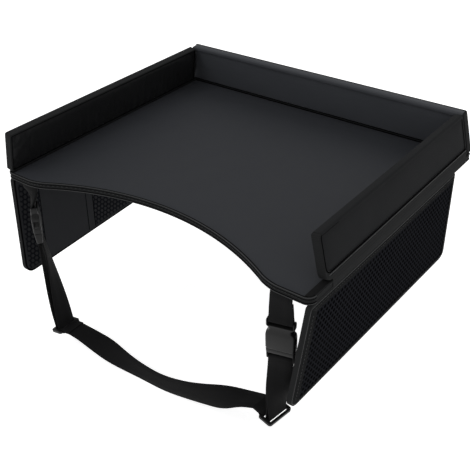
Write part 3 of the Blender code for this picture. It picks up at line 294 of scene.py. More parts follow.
world = bpy.data.worlds.new("studio_sky")
bpy.context.scene.world = world
world.use_nodes = True
background = world.node_tree.nodes["Background"]
background.inputs["Color"].default_value = WHITE
sky = Wire(world.node_tree).node("ShaderNodeLightPath") * SKY_SEEN + SKY_LIGHT
world.node_tree.links.new(sky.socket, background.inputs["Strength"])
for name, place, size, watts in LAMPS:
    bpy.ops.object.select_all(action="DESELECT")
    bpy.ops.object.light_add(type="AREA", location=place)
    lamp = bpy.context.object
    lamp.name = name
    lamp.data.size = size
    lamp.data.energy = watts
    lamp.rotation_euler = Vector(place).to_track_quat("Z", "Y").to_euler()
print("lamps", len(LAMPS))

# %% [markdown]
# ## Cloth patches
# Every cover is a patch of cloth over board or foam. A flat grid is added, its points are
# moved to their places by a rule for the patch, and a Solidify modifier gives the cloth its
# thickness. The distances along the cloth are kept as a UV map in metres, which the weave
# follows. A grid was chosen because it has points inside to swell and gather.

# %% Helpers for cloth
CLOTH_STEPS, SHARE_OF_EDGE = 20, 0.001
SOFT_ANGLE = math.radians(50.0)


def only(obj):
    bpy.ops.object.select_all(action="DESELECT")
    obj.select_set(True)
    bpy.context.view_layer.objects.active = obj


def finish_modifier(obj, kind, **settings):
    made = obj.modifiers.new(kind.lower(), kind)
    for key, value in settings.items():
        setattr(made, key, value)
    only(obj)
    bpy.ops.object.modifier_apply(modifier=made.name)


def cloth_map(obj, flat):
    """Keep each point's place on the flat cloth, in metres, as a UV map."""
    layers = obj.data.uv_layers
    layer = layers.get("cloth") or layers.new(name="cloth")
    for loop in obj.data.loops:
        layer.data[loop.index].uv = flat[loop.vertex_index]
    layers.active = layer


def clothe(obj, finish, slot=None):
    """Give a piece its cloth or plastic; slot, the name of the record's material for it, is not used."""
    obj.data.materials.clear()
    obj.data.materials.append(FINISHES[finish])
    for spare in [layer for layer in obj.data.uv_layers if layer.name != "cloth"]:
        obj.data.uv_layers.remove(spare)
    slot or finish


def dress(obj, body, finish, *nodes, slot=None):
    """Clothe a finished piece, give it its body, and hide the solids it stands for."""
    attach(obj, body)
    clothe(obj, finish, slot)
    if nodes:
        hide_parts(*nodes)
    return obj


def outward_faces(obj):
    only(obj)
    bpy.ops.object.mode_set(mode="EDIT")
    bpy.ops.mesh.select_all(action="SELECT")
    bpy.ops.mesh.normals_make_consistent(inside=False)
    bpy.ops.object.mode_set(mode="OBJECT")


def swell_up(obj, held, pressure, ease_in, most):
    """Let a sheet swell over its padding as simulated cloth, with its sewn edge held."""
    start = [vert.co.copy() for vert in obj.data.vertices]
    obj.vertex_groups.new(name="sewn").add(held, 1.0, "REPLACE")
    made = obj.modifiers.new("cloth", "CLOTH")
    made.settings.vertex_group_mass = "sewn"
    made.settings.use_pressure = True
    made.settings.uniform_pressure_force = pressure
    made.settings.shrink_min = -ease_in
    made.settings.effector_weights.gravity = 0.0
    made.point_cache.frame_end = CLOTH_STEPS
    for step in range(1, CLOTH_STEPS + 1):
        bpy.context.scene.frame_set(step)
    only(obj)
    bpy.ops.object.modifier_apply(modifier=made.name)
    bpy.context.scene.frame_set(1)
    obj.vertex_groups.clear()
    reach = 0.0
    for vert, rest in zip(obj.data.vertices, start):
        moved = vert.co - rest
        reach = max(reach, moved.length)
        vert.co = rest + moved * (1.0 if moved.length < most else most / moved.length)
    finish_modifier(obj, "SUBSURF", levels=1, render_levels=1)
    print(obj.name, "swelled by", round(reach * 1000.0, 2), "mm before its limit")


def patch(name, columns, rows, place, flat_size, thickness, padding=None):
    """A sheet of cloth: place(s, t) says where each share of it lies."""
    bpy.ops.object.select_all(action="DESELECT")
    bpy.ops.mesh.primitive_grid_add(x_subdivisions=columns, y_subdivisions=rows, size=1.0)
    obj = bpy.context.object
    obj.name = obj.data.name = name
    shares = [(vert.co.x + 0.5, vert.co.y + 0.5) for vert in obj.data.vertices]
    for vert, (s, t) in zip(obj.data.vertices, shares):
        vert.co = place(s, t)
    cloth_map(obj, [(s * flat_size[0], t * flat_size[1]) for s, t in shares])
    if padding:
        held = [i for i, (s, t) in enumerate(shares) if min(s, 1.0 - s, t, 1.0 - t) < SHARE_OF_EDGE]
        swell_up(obj, held, *padding)
    finish_modifier(obj, "SOLIDIFY", thickness=abs(thickness), offset=-1.0 if thickness > 0 else 1.0)
    outward_faces(obj)
    only(obj)
    bpy.ops.object.shade_smooth_by_angle(angle=SOFT_ANGLE)
    return obj


def swept(name, rings, closed=True, sharp=40.0):
    """A band through rings of equal count; closed joins the last ring to the first."""
    count = len(rings[0])
    total = len(rings)
    points = [point for ring in rings for point in ring]
    faces = []
    for r in range(total if closed else total - 1):
        for i in range(count):
            j = (i + 1) % count
            s = (r + 1) % total
            faces.append((r * count + i, r * count + j, s * count + j, s * count + i))
    if not closed:
        faces.append(tuple(range(count))[::-1])
        faces.append(tuple((total - 1) * count + i for i in range(count)))
    mesh = bpy.data.meshes.new(name)
    mesh.from_pydata(points, [], faces)
    obj = bpy.data.objects.new(name, mesh)
    bpy.context.scene.collection.objects.link(obj)
    lengths = [0.0]
    for i in range(count):
        lengths.append(lengths[-1] + (rings[0][(i + 1) % count] - rings[0][i]).length)
    depths = [0.0]
    for r in range(total):
        depths.append(depths[-1] + (rings[(r + 1) % total][0] - rings[r][0]).length)
    layer = mesh.uv_layers.new(name="cloth")
    for face in mesh.polygons:
        for loop in face.loop_indices:
            index = mesh.loops[loop].vertex_index
            r, i = divmod(index, count)
            wrap_i = count if i == 0 and any(mesh.loops[k].vertex_index % count == count - 1
                                            for k in face.loop_indices) else i
            wrap_r = total if r == 0 and closed and any(mesh.loops[k].vertex_index // count == total - 1
                                                       for k in face.loop_indices) else r
            layer.data[loop].uv = (lengths[wrap_i], depths[wrap_r])
    outward_faces(obj)
    only(obj)
    bpy.ops.object.shade_smooth_by_angle(angle=math.radians(sharp))
    return obj


def ease(share):
    return share * share * (3.0 - 2.0 * share)


def cords(name, lines, radius, roundness=0, closed=False):
    """Round cords along lists of places, as one curve that is made a mesh."""
    data = bpy.data.curves.new(name, "CURVE")
    data.dimensions = "3D"
    data.bevel_depth = radius
    data.bevel_resolution = roundness
    data.use_fill_caps = True
    for places in lines:
        line = data.splines.new("POLY")
        line.points.add(len(places) - 1)
        for point, place in zip(line.points, places):
            point.co = (*place, 1.0)
        line.use_cyclic_u = closed
    obj = bpy.data.objects.new(name, data)
    bpy.context.scene.collection.objects.link(obj)
    only(obj)
    bpy.ops.object.convert(target="MESH")
    made = bpy.context.object
    cloth_map(made, [(vert.co.x + vert.co.y, vert.co.z) for vert in made.data.vertices])
    return made


def piping(name, path, radius, closed=True):
    """A cord sewn into a seam."""
    made = cords(name, [path], radius, 2, closed)
    bpy.ops.object.shade_smooth()
    return made


STITCH_LENGTH = 0.0022


def stitches(name, path, pitch, radius):
    """A line of stitches along a path, each a short cord."""
    lines, gone, following = [], 0.0, 0.0
    for a, b in zip(path, path[1:]):
        size = (b - a).length
        while following + STITCH_LENGTH <= gone + size:
            ends = following, following + STITCH_LENGTH
            lines.append([a.lerp(b, (reach - gone) / size) for reach in ends])
            following += pitch
        gone += size
        following = max(following, gone)
    return cords(name, lines, radius)

# %% [markdown]
# ## Tray
# The tray is a stiff board in a coated cover, with a band sewn round its edge. The front is
# cut away in an arc for the belly. The same outline serves the cover and the band.

# %% Tray outline
TRAY_WIDTH, TRAY_DEPTH, TRAY_THICKNESS = 0.400, 0.326, 0.008
BELLY_HALF_WIDTH, BELLY_DEPTH, LOBE_FILLET = 0.153, 0.043, 0.012
WALL_THICKNESS, GAP = 0.009, 0.0003
EDGE_THICKNESS, PIPING_RADIUS = 0.0016, 0.0010
REAR_CORNER, FRONT_CORNER, LEAST_RADIUS = 0.005, 0.009, 0.001
CORNER_POINTS, BELLY_STEPS = 9, 60


def corner_arc(start, corner, end):
    points = []
    for i in range(CORNER_POINTS):
        turn = math.radians(90.0) * i / (CORNER_POINTS - 1)
        from_start, from_end = 1.0 - math.sin(turn), 1.0 - math.cos(turn)
        points.append(corner + (start - corner) * from_start + (end - corner) * from_end)
    return points


def belly_arc(front):
    radius = (BELLY_HALF_WIDTH ** 2 + BELLY_DEPTH ** 2) / (2.0 * BELLY_DEPTH)
    centre = -TRAY_DEPTH / 2.0 + BELLY_DEPTH - radius
    reach = radius + front
    lip = -TRAY_DEPTH / 2.0 + front
    return centre, reach, lip, math.sqrt(reach ** 2 - (lip - centre) ** 2)


def tray_outline(side=0.0, back=0.0, front=0.0):
    centre, reach, lip, tip = belly_arc(front)
    half = TRAY_WIDTH / 2.0 - side
    rear = TRAY_DEPTH / 2.0 - back
    last = tip - LOBE_FILLET
    arc = []
    for i in range(BELLY_STEPS + 1):
        x = -last + 2.0 * last * i / BELLY_STEPS
        arc.append(Vector((x, centre + math.sqrt(reach ** 2 - x ** 2))))
    back_radius = max(REAR_CORNER - max(side, back), LEAST_RADIUS)
    front_radius = max(FRONT_CORNER - max(side, front), LEAST_RADIUS)
    points = []
    for corner, before, after, radius in (
        (Vector((half, rear)), Vector((0.0, -1.0)), Vector((-1.0, 0.0)), back_radius),
        (Vector((-half, rear)), Vector((1.0, 0.0)), Vector((0.0, -1.0)), back_radius),
        (Vector((-half, lip)), Vector((0.0, 1.0)), Vector((1.0, 0.0)), front_radius),
    ):
        points += corner_arc(corner + before * radius, corner, corner + after * radius)
    tips = Vector((-tip, lip)), Vector((tip, lip))
    fillet = Vector((LOBE_FILLET, 0.0))
    points += corner_arc(tips[0] - fillet, tips[0], arc[0])
    points += arc[1:-1]
    points += corner_arc(arc[-1], tips[1], tips[1] + fillet)
    corner = Vector((half, lip))
    points += corner_arc(corner - Vector((front_radius, 0.0)), corner, corner + Vector((0.0, front_radius)))
    return points


def level(outline, z):
    return [Vector((point.x, point.y, z)) for point in outline]

# %% [markdown]
# The top cover is smooth, but thin padding lets it swell a little between the seams, and a
# few shallow waves run in from the edges where the cloth was sewn down.

# %% Tray top cover
TOP_SIDE = TRAY_WIDTH / 2.0 - WALL_THICKNESS
TOP_REAR = TRAY_DEPTH / 2.0 - WALL_THICKNESS
EDGE_IN = EDGE_THICKNESS + GAP
TOP_SINK, TOP_SWELL, TOP_WAVE, TOP_EASE = 0.0009, 0.0010, 0.00016, 0.004
FRONT_LINE = [point for point in tray_outline(EDGE_IN, EDGE_IN, EDGE_IN) if point.y < 0.0]


def top_front(x):
    """Where the front edge of the cover lies, at a place across the tray."""
    for a, b in zip(FRONT_LINE, FRONT_LINE[1:]):
        if a.x <= x <= b.x and a.x < b.x:
            return a.y + (b.y - a.y) * (x - a.x) / (b.x - a.x)
    return FRONT_LINE[0].y


def top_place(s, t):
    x = TOP_SIDE * (2.0 * s - 1.0)
    front = top_front(x)
    y = front + (TOP_REAR - front) * t
    edge = min(TOP_SIDE - abs(x), y - front, TOP_REAR - y)
    rise = 1.0 - math.exp(-edge / TOP_EASE)
    wave = TOP_WAVE * math.sin(x * 95.0 + y * 21.0) * math.sin(y * 60.0 - x * 17.0 + 0.6)
    return Vector((x, y, TRAY_THICKNESS - TOP_SINK + TOP_SWELL * rise + wave * rise))


tray_top = patch("tray_top", 150, 120, top_place, (2.0 * TOP_SIDE, TRAY_DEPTH), 0.0012)
dress(tray_top, "tray", "coated_top", "tray_top_cover")
print("tray top", len(tray_top.data.polygons), "faces")

# %% [markdown]
# The band round the edge has a piping along its foot and its top. Pale cords along them are
# a painted highlight, two thin lines, and near-black cords in the grooves beside them are
# painted shade. A bevelled curve could carry the section, but it would twist at the corners,
# so the band is swept round the outline, ring by ring.

# %% Edge band
PIPING_STEPS = 8


def edge_line(depth, height):
    return level(tray_outline(depth, depth, depth), height)


def edge_rings():
    section = []
    for i in range(PIPING_STEPS + 1):
        turn = math.radians(-90.0 - 150.0 * i / PIPING_STEPS)
        section.append((PIPING_RADIUS * (1.0 + math.cos(turn)), PIPING_RADIUS * (1.0 + math.sin(turn))))
    mirrored = [(depth, TRAY_THICKNESS - height) for depth, height in section[::-1]]
    ends = [(EDGE_THICKNESS, TRAY_THICKNESS), (EDGE_THICKNESS, 0.0)]
    return [edge_line(depth, height) for depth, height in section + mirrored + ends]


edge_band = swept("tray_edge_band", edge_rings())
dress(edge_band, "tray", "binding_tape", "tray_edge_binding")
# upper_cord and lower_cord take the pale cord colour, a painted highlight; the three near-black cords are
# painted shade in the grooves beside the pipings.
for name, finish, depth, height, radius in (
    ("upper_cord", "bright_piping", 0.0005, TRAY_THICKNESS - 0.0003, 0.00035),
    ("lower_cord", "bright_piping", 0.0002, 0.0010, 0.00035),
    ("cover_seam_painted_shade", "seam_tape", EDGE_THICKNESS + 0.0003, TRAY_THICKNESS - 0.0003, 0.00050),
    ("upper_seam_painted_shade", "seam_tape", 0.0004, TRAY_THICKNESS - 0.0020, 0.00045),
    ("lower_seam_painted_shade", "seam_tape", 0.0004, 0.0020, 0.00040),
):
    front_line = edge_line(depth, height)[2 * CORNER_POINTS:]
    cord = piping("tray_" + name, front_line, radius, False)
    dress(cord, "tray", finish, slot="binding_tape" if finish == "bright_piping" else None)
# The stitches take the pale cord colour: a painted highlight.
stitch_line = edge_line(0.0004, TRAY_THICKNESS / 2.0 + 0.0006)[2 * CORNER_POINTS:]
sewn = stitches("tray_edge_stitches", stitch_line, 0.0036, 0.00022)
dress(sewn, "tray", "bright_piping", slot="binding_tape")
print("edge band", len(edge_band.data.polygons), "faces")

# %% [markdown]
# ## Walls
# Three padded walls stand on the tray, all leaning in a little. Each is foam between two
# covers with a bound edge. The faces swell between the seams, and the lining of the side
# walls is drawn into small gathers along its foot, where it was sewn to the tray. Places on a
# wall are given along it, up it and through it, so that one set of rules serves all three.

# %% Places on a wall
WALL_HEIGHT = 0.048
SIDE_LEAN, BACK_LEAN = math.radians(11.5), math.radians(4.8)
BINDING_LAP, BINDING_TIGHT, FOOT_BAND = 0.0022, 0.0012, 0.0075
FRONT_RADIUS, CORNER_RADIUS = 0.0095, 0.0025
HOOK_THICK, HOOK_SPACE = 0.0008, 0.0006
WALL_PIECES = 30


def side_wall_frame(side):
    hinge = Vector((side * TOP_SIDE, 0.0, TRAY_THICKNESS + GAP))
    outward = Vector((side * math.cos(SIDE_LEAN), 0.0, math.sin(SIDE_LEAN)))
    upward = Vector((-side * math.sin(SIDE_LEAN), 0.0, math.cos(SIDE_LEAN)))
    return hinge, outward, Vector((0.0, 1.0, 0.0)), upward


def back_wall_frame():
    lift = TRAY_THICKNESS + GAP + WALL_THICKNESS * math.sin(BACK_LEAN)
    hinge = Vector((0.0, TRAY_DEPTH / 2.0 - GAP, lift))
    outward = Vector((0.0, math.cos(BACK_LEAN), math.sin(BACK_LEAN)))
    upward = Vector((0.0, -math.sin(BACK_LEAN), math.cos(BACK_LEAN)))
    return hinge, outward, Vector((1.0, 0.0, 0.0)), upward


def side_wall_end(rise):
    """Where a side wall ends at a height, so that the two patches fit before the back wall."""
    height = rise * math.cos(SIDE_LEAN) + GAP
    hinge = back_wall_frame()[0]
    leant = (height - hinge.z + TRAY_THICKNESS) * math.tan(BACK_LEAN)
    inner = hinge.y - WALL_THICKNESS / math.cos(BACK_LEAN) - leant
    return inner - (2.0 * HOOK_THICK + HOOK_SPACE + 2.0 * GAP)


def on_wall(wall, along, up, depth):
    hinge, outward, direction, upward = wall
    return hinge + outward * depth + direction * along + upward * up


def wall_ends(quad, up):
    foot0, foot1, top1, top0 = quad
    share = up / WALL_HEIGHT
    return foot0 + (top0 - foot0) * share, foot1 + (top1 - foot1) * share


def rounded(corners, radii, pieces):
    """A rounded outline, whose straight sides are each divided into as many pieces."""
    points = []
    for i, corner in enumerate(corners):
        before = (corners[i - 1] - corner).normalized()
        after = (corners[(i + 1) % len(corners)] - corner).normalized()
        following = corners[(i + 1) % len(corners)]
        points += corner_arc(corner + before * radii[i], corner, corner + after * radii[i])
        start = points[-1]
        end = following - after * radii[(i + 1) % len(corners)]
        points += [start.lerp(end, k / pieces) for k in range(1, pieces)]
    return points


def wall_outline(quad, radii, sides=0.0, top=0.0, bottom=0.0):
    low, high = bottom, WALL_HEIGHT - top
    ends_low, ends_high = wall_ends(quad, low), wall_ends(quad, high)
    corners = [Vector((ends_low[0] + sides, low)), Vector((ends_low[1] - sides, low)),
               Vector((ends_high[1] - sides, high)), Vector((ends_high[0] + sides, high))]
    shrunk = [max(radius - max(sides, top), LEAST_RADIUS) for radius in radii]
    return rounded(corners, shrunk, WALL_PIECES)

# %% [markdown]
# A wall cover is a patch whose edge rounds off into the binding. Its corners are rounded by
# drawing the ends of each row in, as the pattern cutter does. The patch is then let swell
# as simulated cloth. The inner side covers are cut a little long, so they gather at the
# seams, as in the photograph. The others are taut.

# %% Wall covers
COVER_THICK, COVER_SINK, COVER_CROWN = 0.0012, 0.0011, 0.0005
SEAM_EASE, GATHER_REACH, SAG_HEIGHT = 0.0035, 0.006, 0.0003
GATHERS, LOOSE, PRESSURE = 0.00045, 0.015, 3.0
MOST_MOVED, MOST_MOVED_RIGHT = 0.0014, 0.0010


def wall_cover(name, wall, quad, radii, face, skin, foot, gathers, loose):
    clear = BINDING_LAP + GAP
    low, high = foot + GAP, WALL_HEIGHT - clear

    def place(s, t):
        up = low + (high - low) * t
        start, end = wall_ends(quad, up)
        start, end = start + clear, end - clear
        trims = []
        for radius, gap in ((radii[0] - clear, up - low), (radii[3] - clear, high - up)):
            radius = max(radius, LEAST_RADIUS)
            short = max(radius - gap, 0.0)
            trims.append(radius - math.sqrt(radius ** 2 - short ** 2))
        start += max(trims)
        along = start + (end - start) * s
        edge = min(along - start, end - along, up - low, high - up)
        swell = 1.0 - math.exp(-edge / SEAM_EASE)
        fold = math.sin(along * 620.0 + 2.0 * math.sin(along * 70.0))
        pucker = math.exp(-(up - low) / GATHER_REACH) * gathers * fold
        sag = SAG_HEIGHT * math.sin(along * 48.0 + up * 30.0) * swell
        depth = skin + (COVER_CROWN * swell + sag + pucker) * face
        return on_wall(wall, along, up, depth)

    long = wall_ends(quad, 0.0)[1] - wall_ends(quad, 0.0)[0]
    towards = 1.0 if name.startswith("right") == (face > 0) else -1.0
    most = MOST_MOVED_RIGHT if name.startswith("right") else MOST_MOVED
    padding = (PRESSURE * towards, loose, most)
    return patch(name, 130, 18, place, (long, high - low), COVER_THICK * towards, padding)


SIDE_RADII = [FRONT_RADIUS, CORNER_RADIUS, CORNER_RADIUS, CORNER_RADIUS]
FLAT_RADII = [CORNER_RADIUS] * 4
walls = {}
for side, label, setback, radii in ((-1.0, "left", 0.0015, FLAT_RADII), (1.0, "right", 0.025, SIDE_RADII)):
    front = -TRAY_DEPTH / 2.0 + setback
    quad = (front, side_wall_end(0.0), side_wall_end(WALL_HEIGHT), front)
    walls[label + "_wall"] = (side_wall_frame(side), quad, radii, 0.0)
drawn_in = WALL_HEIGHT * math.sin(SIDE_LEAN)
foot_half = TRAY_WIDTH / 2.0 - GAP
walls["back_wall"] = (back_wall_frame(), (-foot_half, foot_half, foot_half - drawn_in, drawn_in - foot_half),
                      FLAT_RADII, -WALL_THICKNESS)
# All inner covers are the lining cloth; the side walls take its darker copy as painted shade, and the back
# wall its lighter copy as painted light.
INSIDES = {"left_wall": "painted_shade_lining", "right_wall": "painted_shade_lining", "back_wall": "painted_light_lining"}
for label, (wall, quad, radii, near) in walls.items():
    slack = (0.0, 0.0) if label == "back_wall" else (GATHERS, LOOSE)
    inner = wall_cover(label + "_inner_pad", wall, quad, radii, -1.0, near + COVER_SINK, BINDING_LAP, *slack)
    dress(inner, label, INSIDES[label], label + "_inner_cover", slot="lining_fabric")
    skin = near + WALL_THICKNESS - COVER_SINK
    outer = wall_cover(label + "_outer_pad", wall, quad, radii, 1.0, skin, FOOT_BAND, 0.0, 0.0)
    dress(outer, label, "cover_fabric", label + "_outer_cover")

# %% [markdown]
# The binding wraps the edge of each wall and widens to a band along its outer foot. It is a
# closed section swept round the wall, so that it has a thickness at every edge. Near-black
# cords stand beside it, painted shade in the gaps along its end and foot and along the inner
# foot, and one pale piping along the foot band, a painted highlight, draws the line in the
# photograph.

# %% Wall bindings
SIDE_POINTS = WALL_PIECES - 1 + CORNER_POINTS
ROUNDING = 0.0006
OVER_TOP = [(0.0006, 0.0002), (0.0020, 0.0004), (0.0045, 0.0004), (0.0068, 0.0004)]
FOLD_DOWN_INSIDE = [(-0.0005, -0.0040), (-0.0005, -0.0024), (-0.0002, -0.0008)]
FOLD_DOWN_OUTSIDE = [(0.0084, 0.0002), (0.0093, -0.0007), (0.0094, -0.0020), (0.0094, -0.0034)]


def folded_over(wall, quad, fold, s, t):
    """A place on the cloth that is drawn over the top of a wall, from inside to outside."""
    depth, above = fold[round(t * (len(fold) - 1))]
    up = WALL_HEIGHT + above
    start, end = wall_ends(quad, WALL_HEIGHT)
    return on_wall(wall, start + 0.0030 + (end - start - 0.0045) * s, up, depth)


for label, (wall, quad, radii, near) in walls.items():
    far = near + WALL_THICKNESS

    def ring(depth, inset, foot):
        return [on_wall(wall, p.x, p.y, depth) for p in wall_outline(quad, radii, inset, inset, foot)]

    lap, tight = BINDING_LAP, BINDING_TIGHT
    plan = [(near, ROUNDING, ROUNDING), (near + ROUNDING, 0.0, 0.0),
            (far - ROUNDING, 0.0, 0.0), (far, ROUNDING, ROUNDING),
            (far, lap, FOOT_BAND), (far - tight, lap, FOOT_BAND), (far - tight, tight, tight),
            (near + tight, tight, tight), (near + tight, lap, lap), (near, lap, lap)]
    band = swept(label + "_band", [ring(*line) for line in plan])
    dress(band, label, "binding_tape", label + "_binding")
    # A near-black cord along the end and foot of the outer cover: painted shade in the gap between pad and
    # band.
    outline = ring(far - 0.0001, lap, FOOT_BAND)
    end_and_foot = outline[3 * SIDE_POINTS - 3:] + outline[:SIDE_POINTS + 6]
    dress(piping(label + "_outer_seam_painted_shade", end_and_foot, 0.0006, False), label, "seam_tape")
    # A pale cord along the foot band: a painted highlight.
    start, end = wall_ends(quad, FOOT_BAND)
    places = [start + 0.005 + (end - start - 0.007) * i / 30 for i in range(31)]
    line = [on_wall(wall, along, FOOT_BAND - 0.0016, far) for along in places]
    dress(piping(label + "_foot_cord", line, 0.0005, False), label, "bright_piping", slot="seam_tape")
    # A near-black cord along the inner foot: painted shade in the gap between wall and tray.
    foot_line = ring(near + 0.0003, lap, lap)
    inside = foot_line if label == "left_wall" else foot_line[:SIDE_POINTS + 6]
    seam = piping(label + "_inner_seam", inside, 0.0006, label == "left_wall")
    dress(seam, label, "seam_tape")
    if label == "back_wall":
        rim = ring(far - 0.0012, -0.0003, 0.0)[2 * SIDE_POINTS + 3:3 * SIDE_POINTS + 5]
        dress(piping(label + "_rim_cord", rim, 0.0007, False), label, "seam_tape")
    if label != "left_wall":
        fold = FOLD_DOWN_INSIDE + OVER_TOP if label == "back_wall" else OVER_TOP + FOLD_DOWN_OUTSIDE
        fold = [(near + depth, above) for depth, above in fold]
        wrap = patch(label + "_top_fold", 120, len(fold) - 1,
                     lambda s, t: folded_over(wall, quad, fold, s, t), (0.30, 0.013), -0.0003)
        # The back wall's fold over the top takes the lighter lining: painted light along its top.
        dress(wrap, label, "painted_light_lining" if label == "back_wall" else "cover_fabric", slot="cover_fabric")
    print(band.name, len(band.data.polygons), "faces")

# %% [markdown]
# A strip of cloth bridges the line where each wall turns on the tray, on its outside. It is
# sewn to both.

# %% Hinge strips
STRIP_FOOT, STRIP_TOP, STRIP_PROUD = 0.0015, 0.0045, 0.0003
STRIPS = (("left_wall", 0.006, 0.002, -0.001, -1.0), ("right_wall", 0.010, 0.002, -0.001, 1.0),
          ("back_wall", 0.004, 0.004, 0.0005, -1.0))
for label, from_start, from_end, turn_from, flip in STRIPS:
    wall, quad, radii, near = walls[label]
    far = near + WALL_THICKNESS
    start, end = quad[0] + from_start, quad[1] - from_end

    def strip_place(s, t):
        along = start + (end - start) * s
        high = on_wall(wall, along, STRIP_TOP, far + STRIP_PROUD)
        low = Vector((math.copysign(TRAY_WIDTH / 2.0 + STRIP_PROUD, high.x), along, STRIP_FOOT))
        if label == "back_wall":
            low = Vector((along, TRAY_DEPTH / 2.0 + STRIP_PROUD, STRIP_FOOT))
        place = low.lerp(high, ease(t))
        place.z = low.z + (high.z - low.z) * t
        return place

    strip = patch(label + "_hinge_strip", 80, 12, strip_place, (end - start, 0.012), flip * STRIP_PROUD)
    clothe(strip, "binding_tape")
    middle = strip_place(0.5, 0.0)
    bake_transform(strip)
print("hinge strips", len(STRIPS))

# %% [markdown]
# ## Side panels
# A panel is a thin stiffened flap that hangs from the tray's edge. Its front lower corner
# swings in, so a place on it is found on the flat flap first and then leant by one rule. The
# outer face has a mesh pocket in a smooth margin.

# %% Places on a panel
PANELS = ((-1.0, "left_panel"), (1.0, "right_panel"))
PANEL_LAYERS = (0.0008, 0.0012, 0.0008, 0.0014)
PANEL_THICK = sum(PANEL_LAYERS) + 3.0 * GAP
PANEL_EDGE, MARGIN_THICK = 0.0014, PANEL_LAYERS[3]
PANEL_FRONT, PANEL_BACK = -TRAY_DEPTH / 2.0 + 0.002, TRAY_DEPTH / 2.0 - 0.036
PANEL_DROP = 0.120 - GAP - PANEL_THICK / 2.0
HINGE_X = TRAY_WIDTH / 2.0 - PANEL_EDGE - PANEL_THICK / 2.0
HINGE_Z = -GAP - PANEL_THICK / 2.0
SWING_FRONT, SWING_BACK = {-1.0: 0.0025, 1.0: 0.0145}, 0.0016
LONGER_FRONT, LONGER_BACK, RAKE = 0.006, -0.0075, 0.010
FRONT_ROUND, BACK_ROUND, TOP_ROUND = 0.013, 0.009, 0.003


def on_panel(side, along, drop, depth):
    """A place on a panel, which leans in and grows longer towards its lower front corner."""
    share = (along - PANEL_FRONT) / (PANEL_BACK - PANEL_FRONT)
    down = max(drop, 0.0) / PANEL_DROP
    inward = (SWING_FRONT[side] + (SWING_BACK - SWING_FRONT[side]) * share) * down
    longer = (LONGER_FRONT + (LONGER_BACK - LONGER_FRONT) * share) * down
    forward = RAKE * (1.0 - share) * down
    return Vector((side * (HINGE_X + depth - inward), along - forward, HINGE_Z - drop - longer))


def panel_ends(drop, inset, front_in=0.0, back_in=0.0, bottom_in=0.0):
    """Front and back of a panel at a drop, with its lower corners rounded."""
    low = PANEL_DROP - bottom_in - inset
    front, back = PANEL_FRONT + front_in + inset, PANEL_BACK - back_in - inset
    trims = []
    for radius in (FRONT_ROUND - inset - front_in, BACK_ROUND - inset - back_in):
        radius = max(radius, LEAST_RADIUS)
        short = min(max(radius - (low - drop), 0.0), radius)
        trims.append(radius - math.sqrt(radius ** 2 - short ** 2))
    return front + trims[0], back - trims[1], low


def panel_sheet(name, side, inset, depth, thickness, swell, ins=(0.0, 0.0, 0.0, 0.0)):
    """A patch on the panel; depth is its outer face, measured outwards."""
    front_in, back_in, top_in, bottom_in = ins
    low = panel_ends(0.0, inset, front_in, back_in, bottom_in)[2]

    def place(s, t):
        drop = top_in + inset + (low - top_in - inset) * t
        start, end, _ = panel_ends(drop, inset, front_in, back_in, bottom_in)
        along = start + (end - start) * s
        edge = min(along - start, end - along, drop - top_in - inset, low - drop)
        ripple = swell * math.sin(along * 52.0 + 0.7) * math.sin(drop * 46.0 + along * 12.0)
        return on_panel(side, along, drop, depth + ripple * (1.0 - math.exp(-edge / 0.01)))

    return patch(name, 110, 44, place, (PANEL_BACK - PANEL_FRONT, PANEL_DROP), thickness)


for side, label in PANELS:
    inset = PANEL_EDGE + GAP
    flip = -side
    size = (PANEL_BACK - PANEL_FRONT - 2.0 * inset, PANEL_DROP - 2.0 * inset)
    depth = -PANEL_THICK / 2.0 + 0.0001
    lining = panel_sheet(label + "_inner_sheet", side, inset, depth, 0.0006 * flip, 0.00012)
    dress(lining, label, "lining_fabric", label + "_lining")
    label + "_board"
    base = PANEL_THICK / 2.0 - MARGIN_THICK - GAP
    # The sheet under the pocket net takes the near-black seam colour instead of the cover's: painted shade
    # behind the net.
    cover = panel_sheet(label + "_outer_sheet", side, inset, base - 0.0001, -0.0006 * flip, 0.00015)
    dress(cover, label, "seam_tape", label + "_cover", slot="cover_fabric")
    label + "_board"
print("panels", round(PANEL_DROP, 4), "m deep")

# %% [markdown]
# The margin frames the pocket, and the binding wraps the whole edge with a half-round top,
# on which the panel swings. Both are swept round the panel's rounded outline.

# %% Panel margins and bindings
def panel_outline(front_in=0.0, back_in=0.0, top_in=0.0, bottom_in=0.0):
    low = PANEL_DROP - bottom_in
    corners = [Vector((PANEL_FRONT + front_in, top_in)), Vector((PANEL_BACK - back_in, top_in)),
               Vector((PANEL_BACK - back_in, low)), Vector((PANEL_FRONT + front_in, low))]
    cut = max(front_in, bottom_in)
    radii = (TOP_ROUND, TOP_ROUND, BACK_ROUND, FRONT_ROUND)
    return rounded(corners, [max(radius - cut, LEAST_RADIUS) for radius in radii], 26)


def panel_ring(side, depth, *ins):
    return [on_panel(side, point.x, point.y, depth) for point in panel_outline(*ins)]


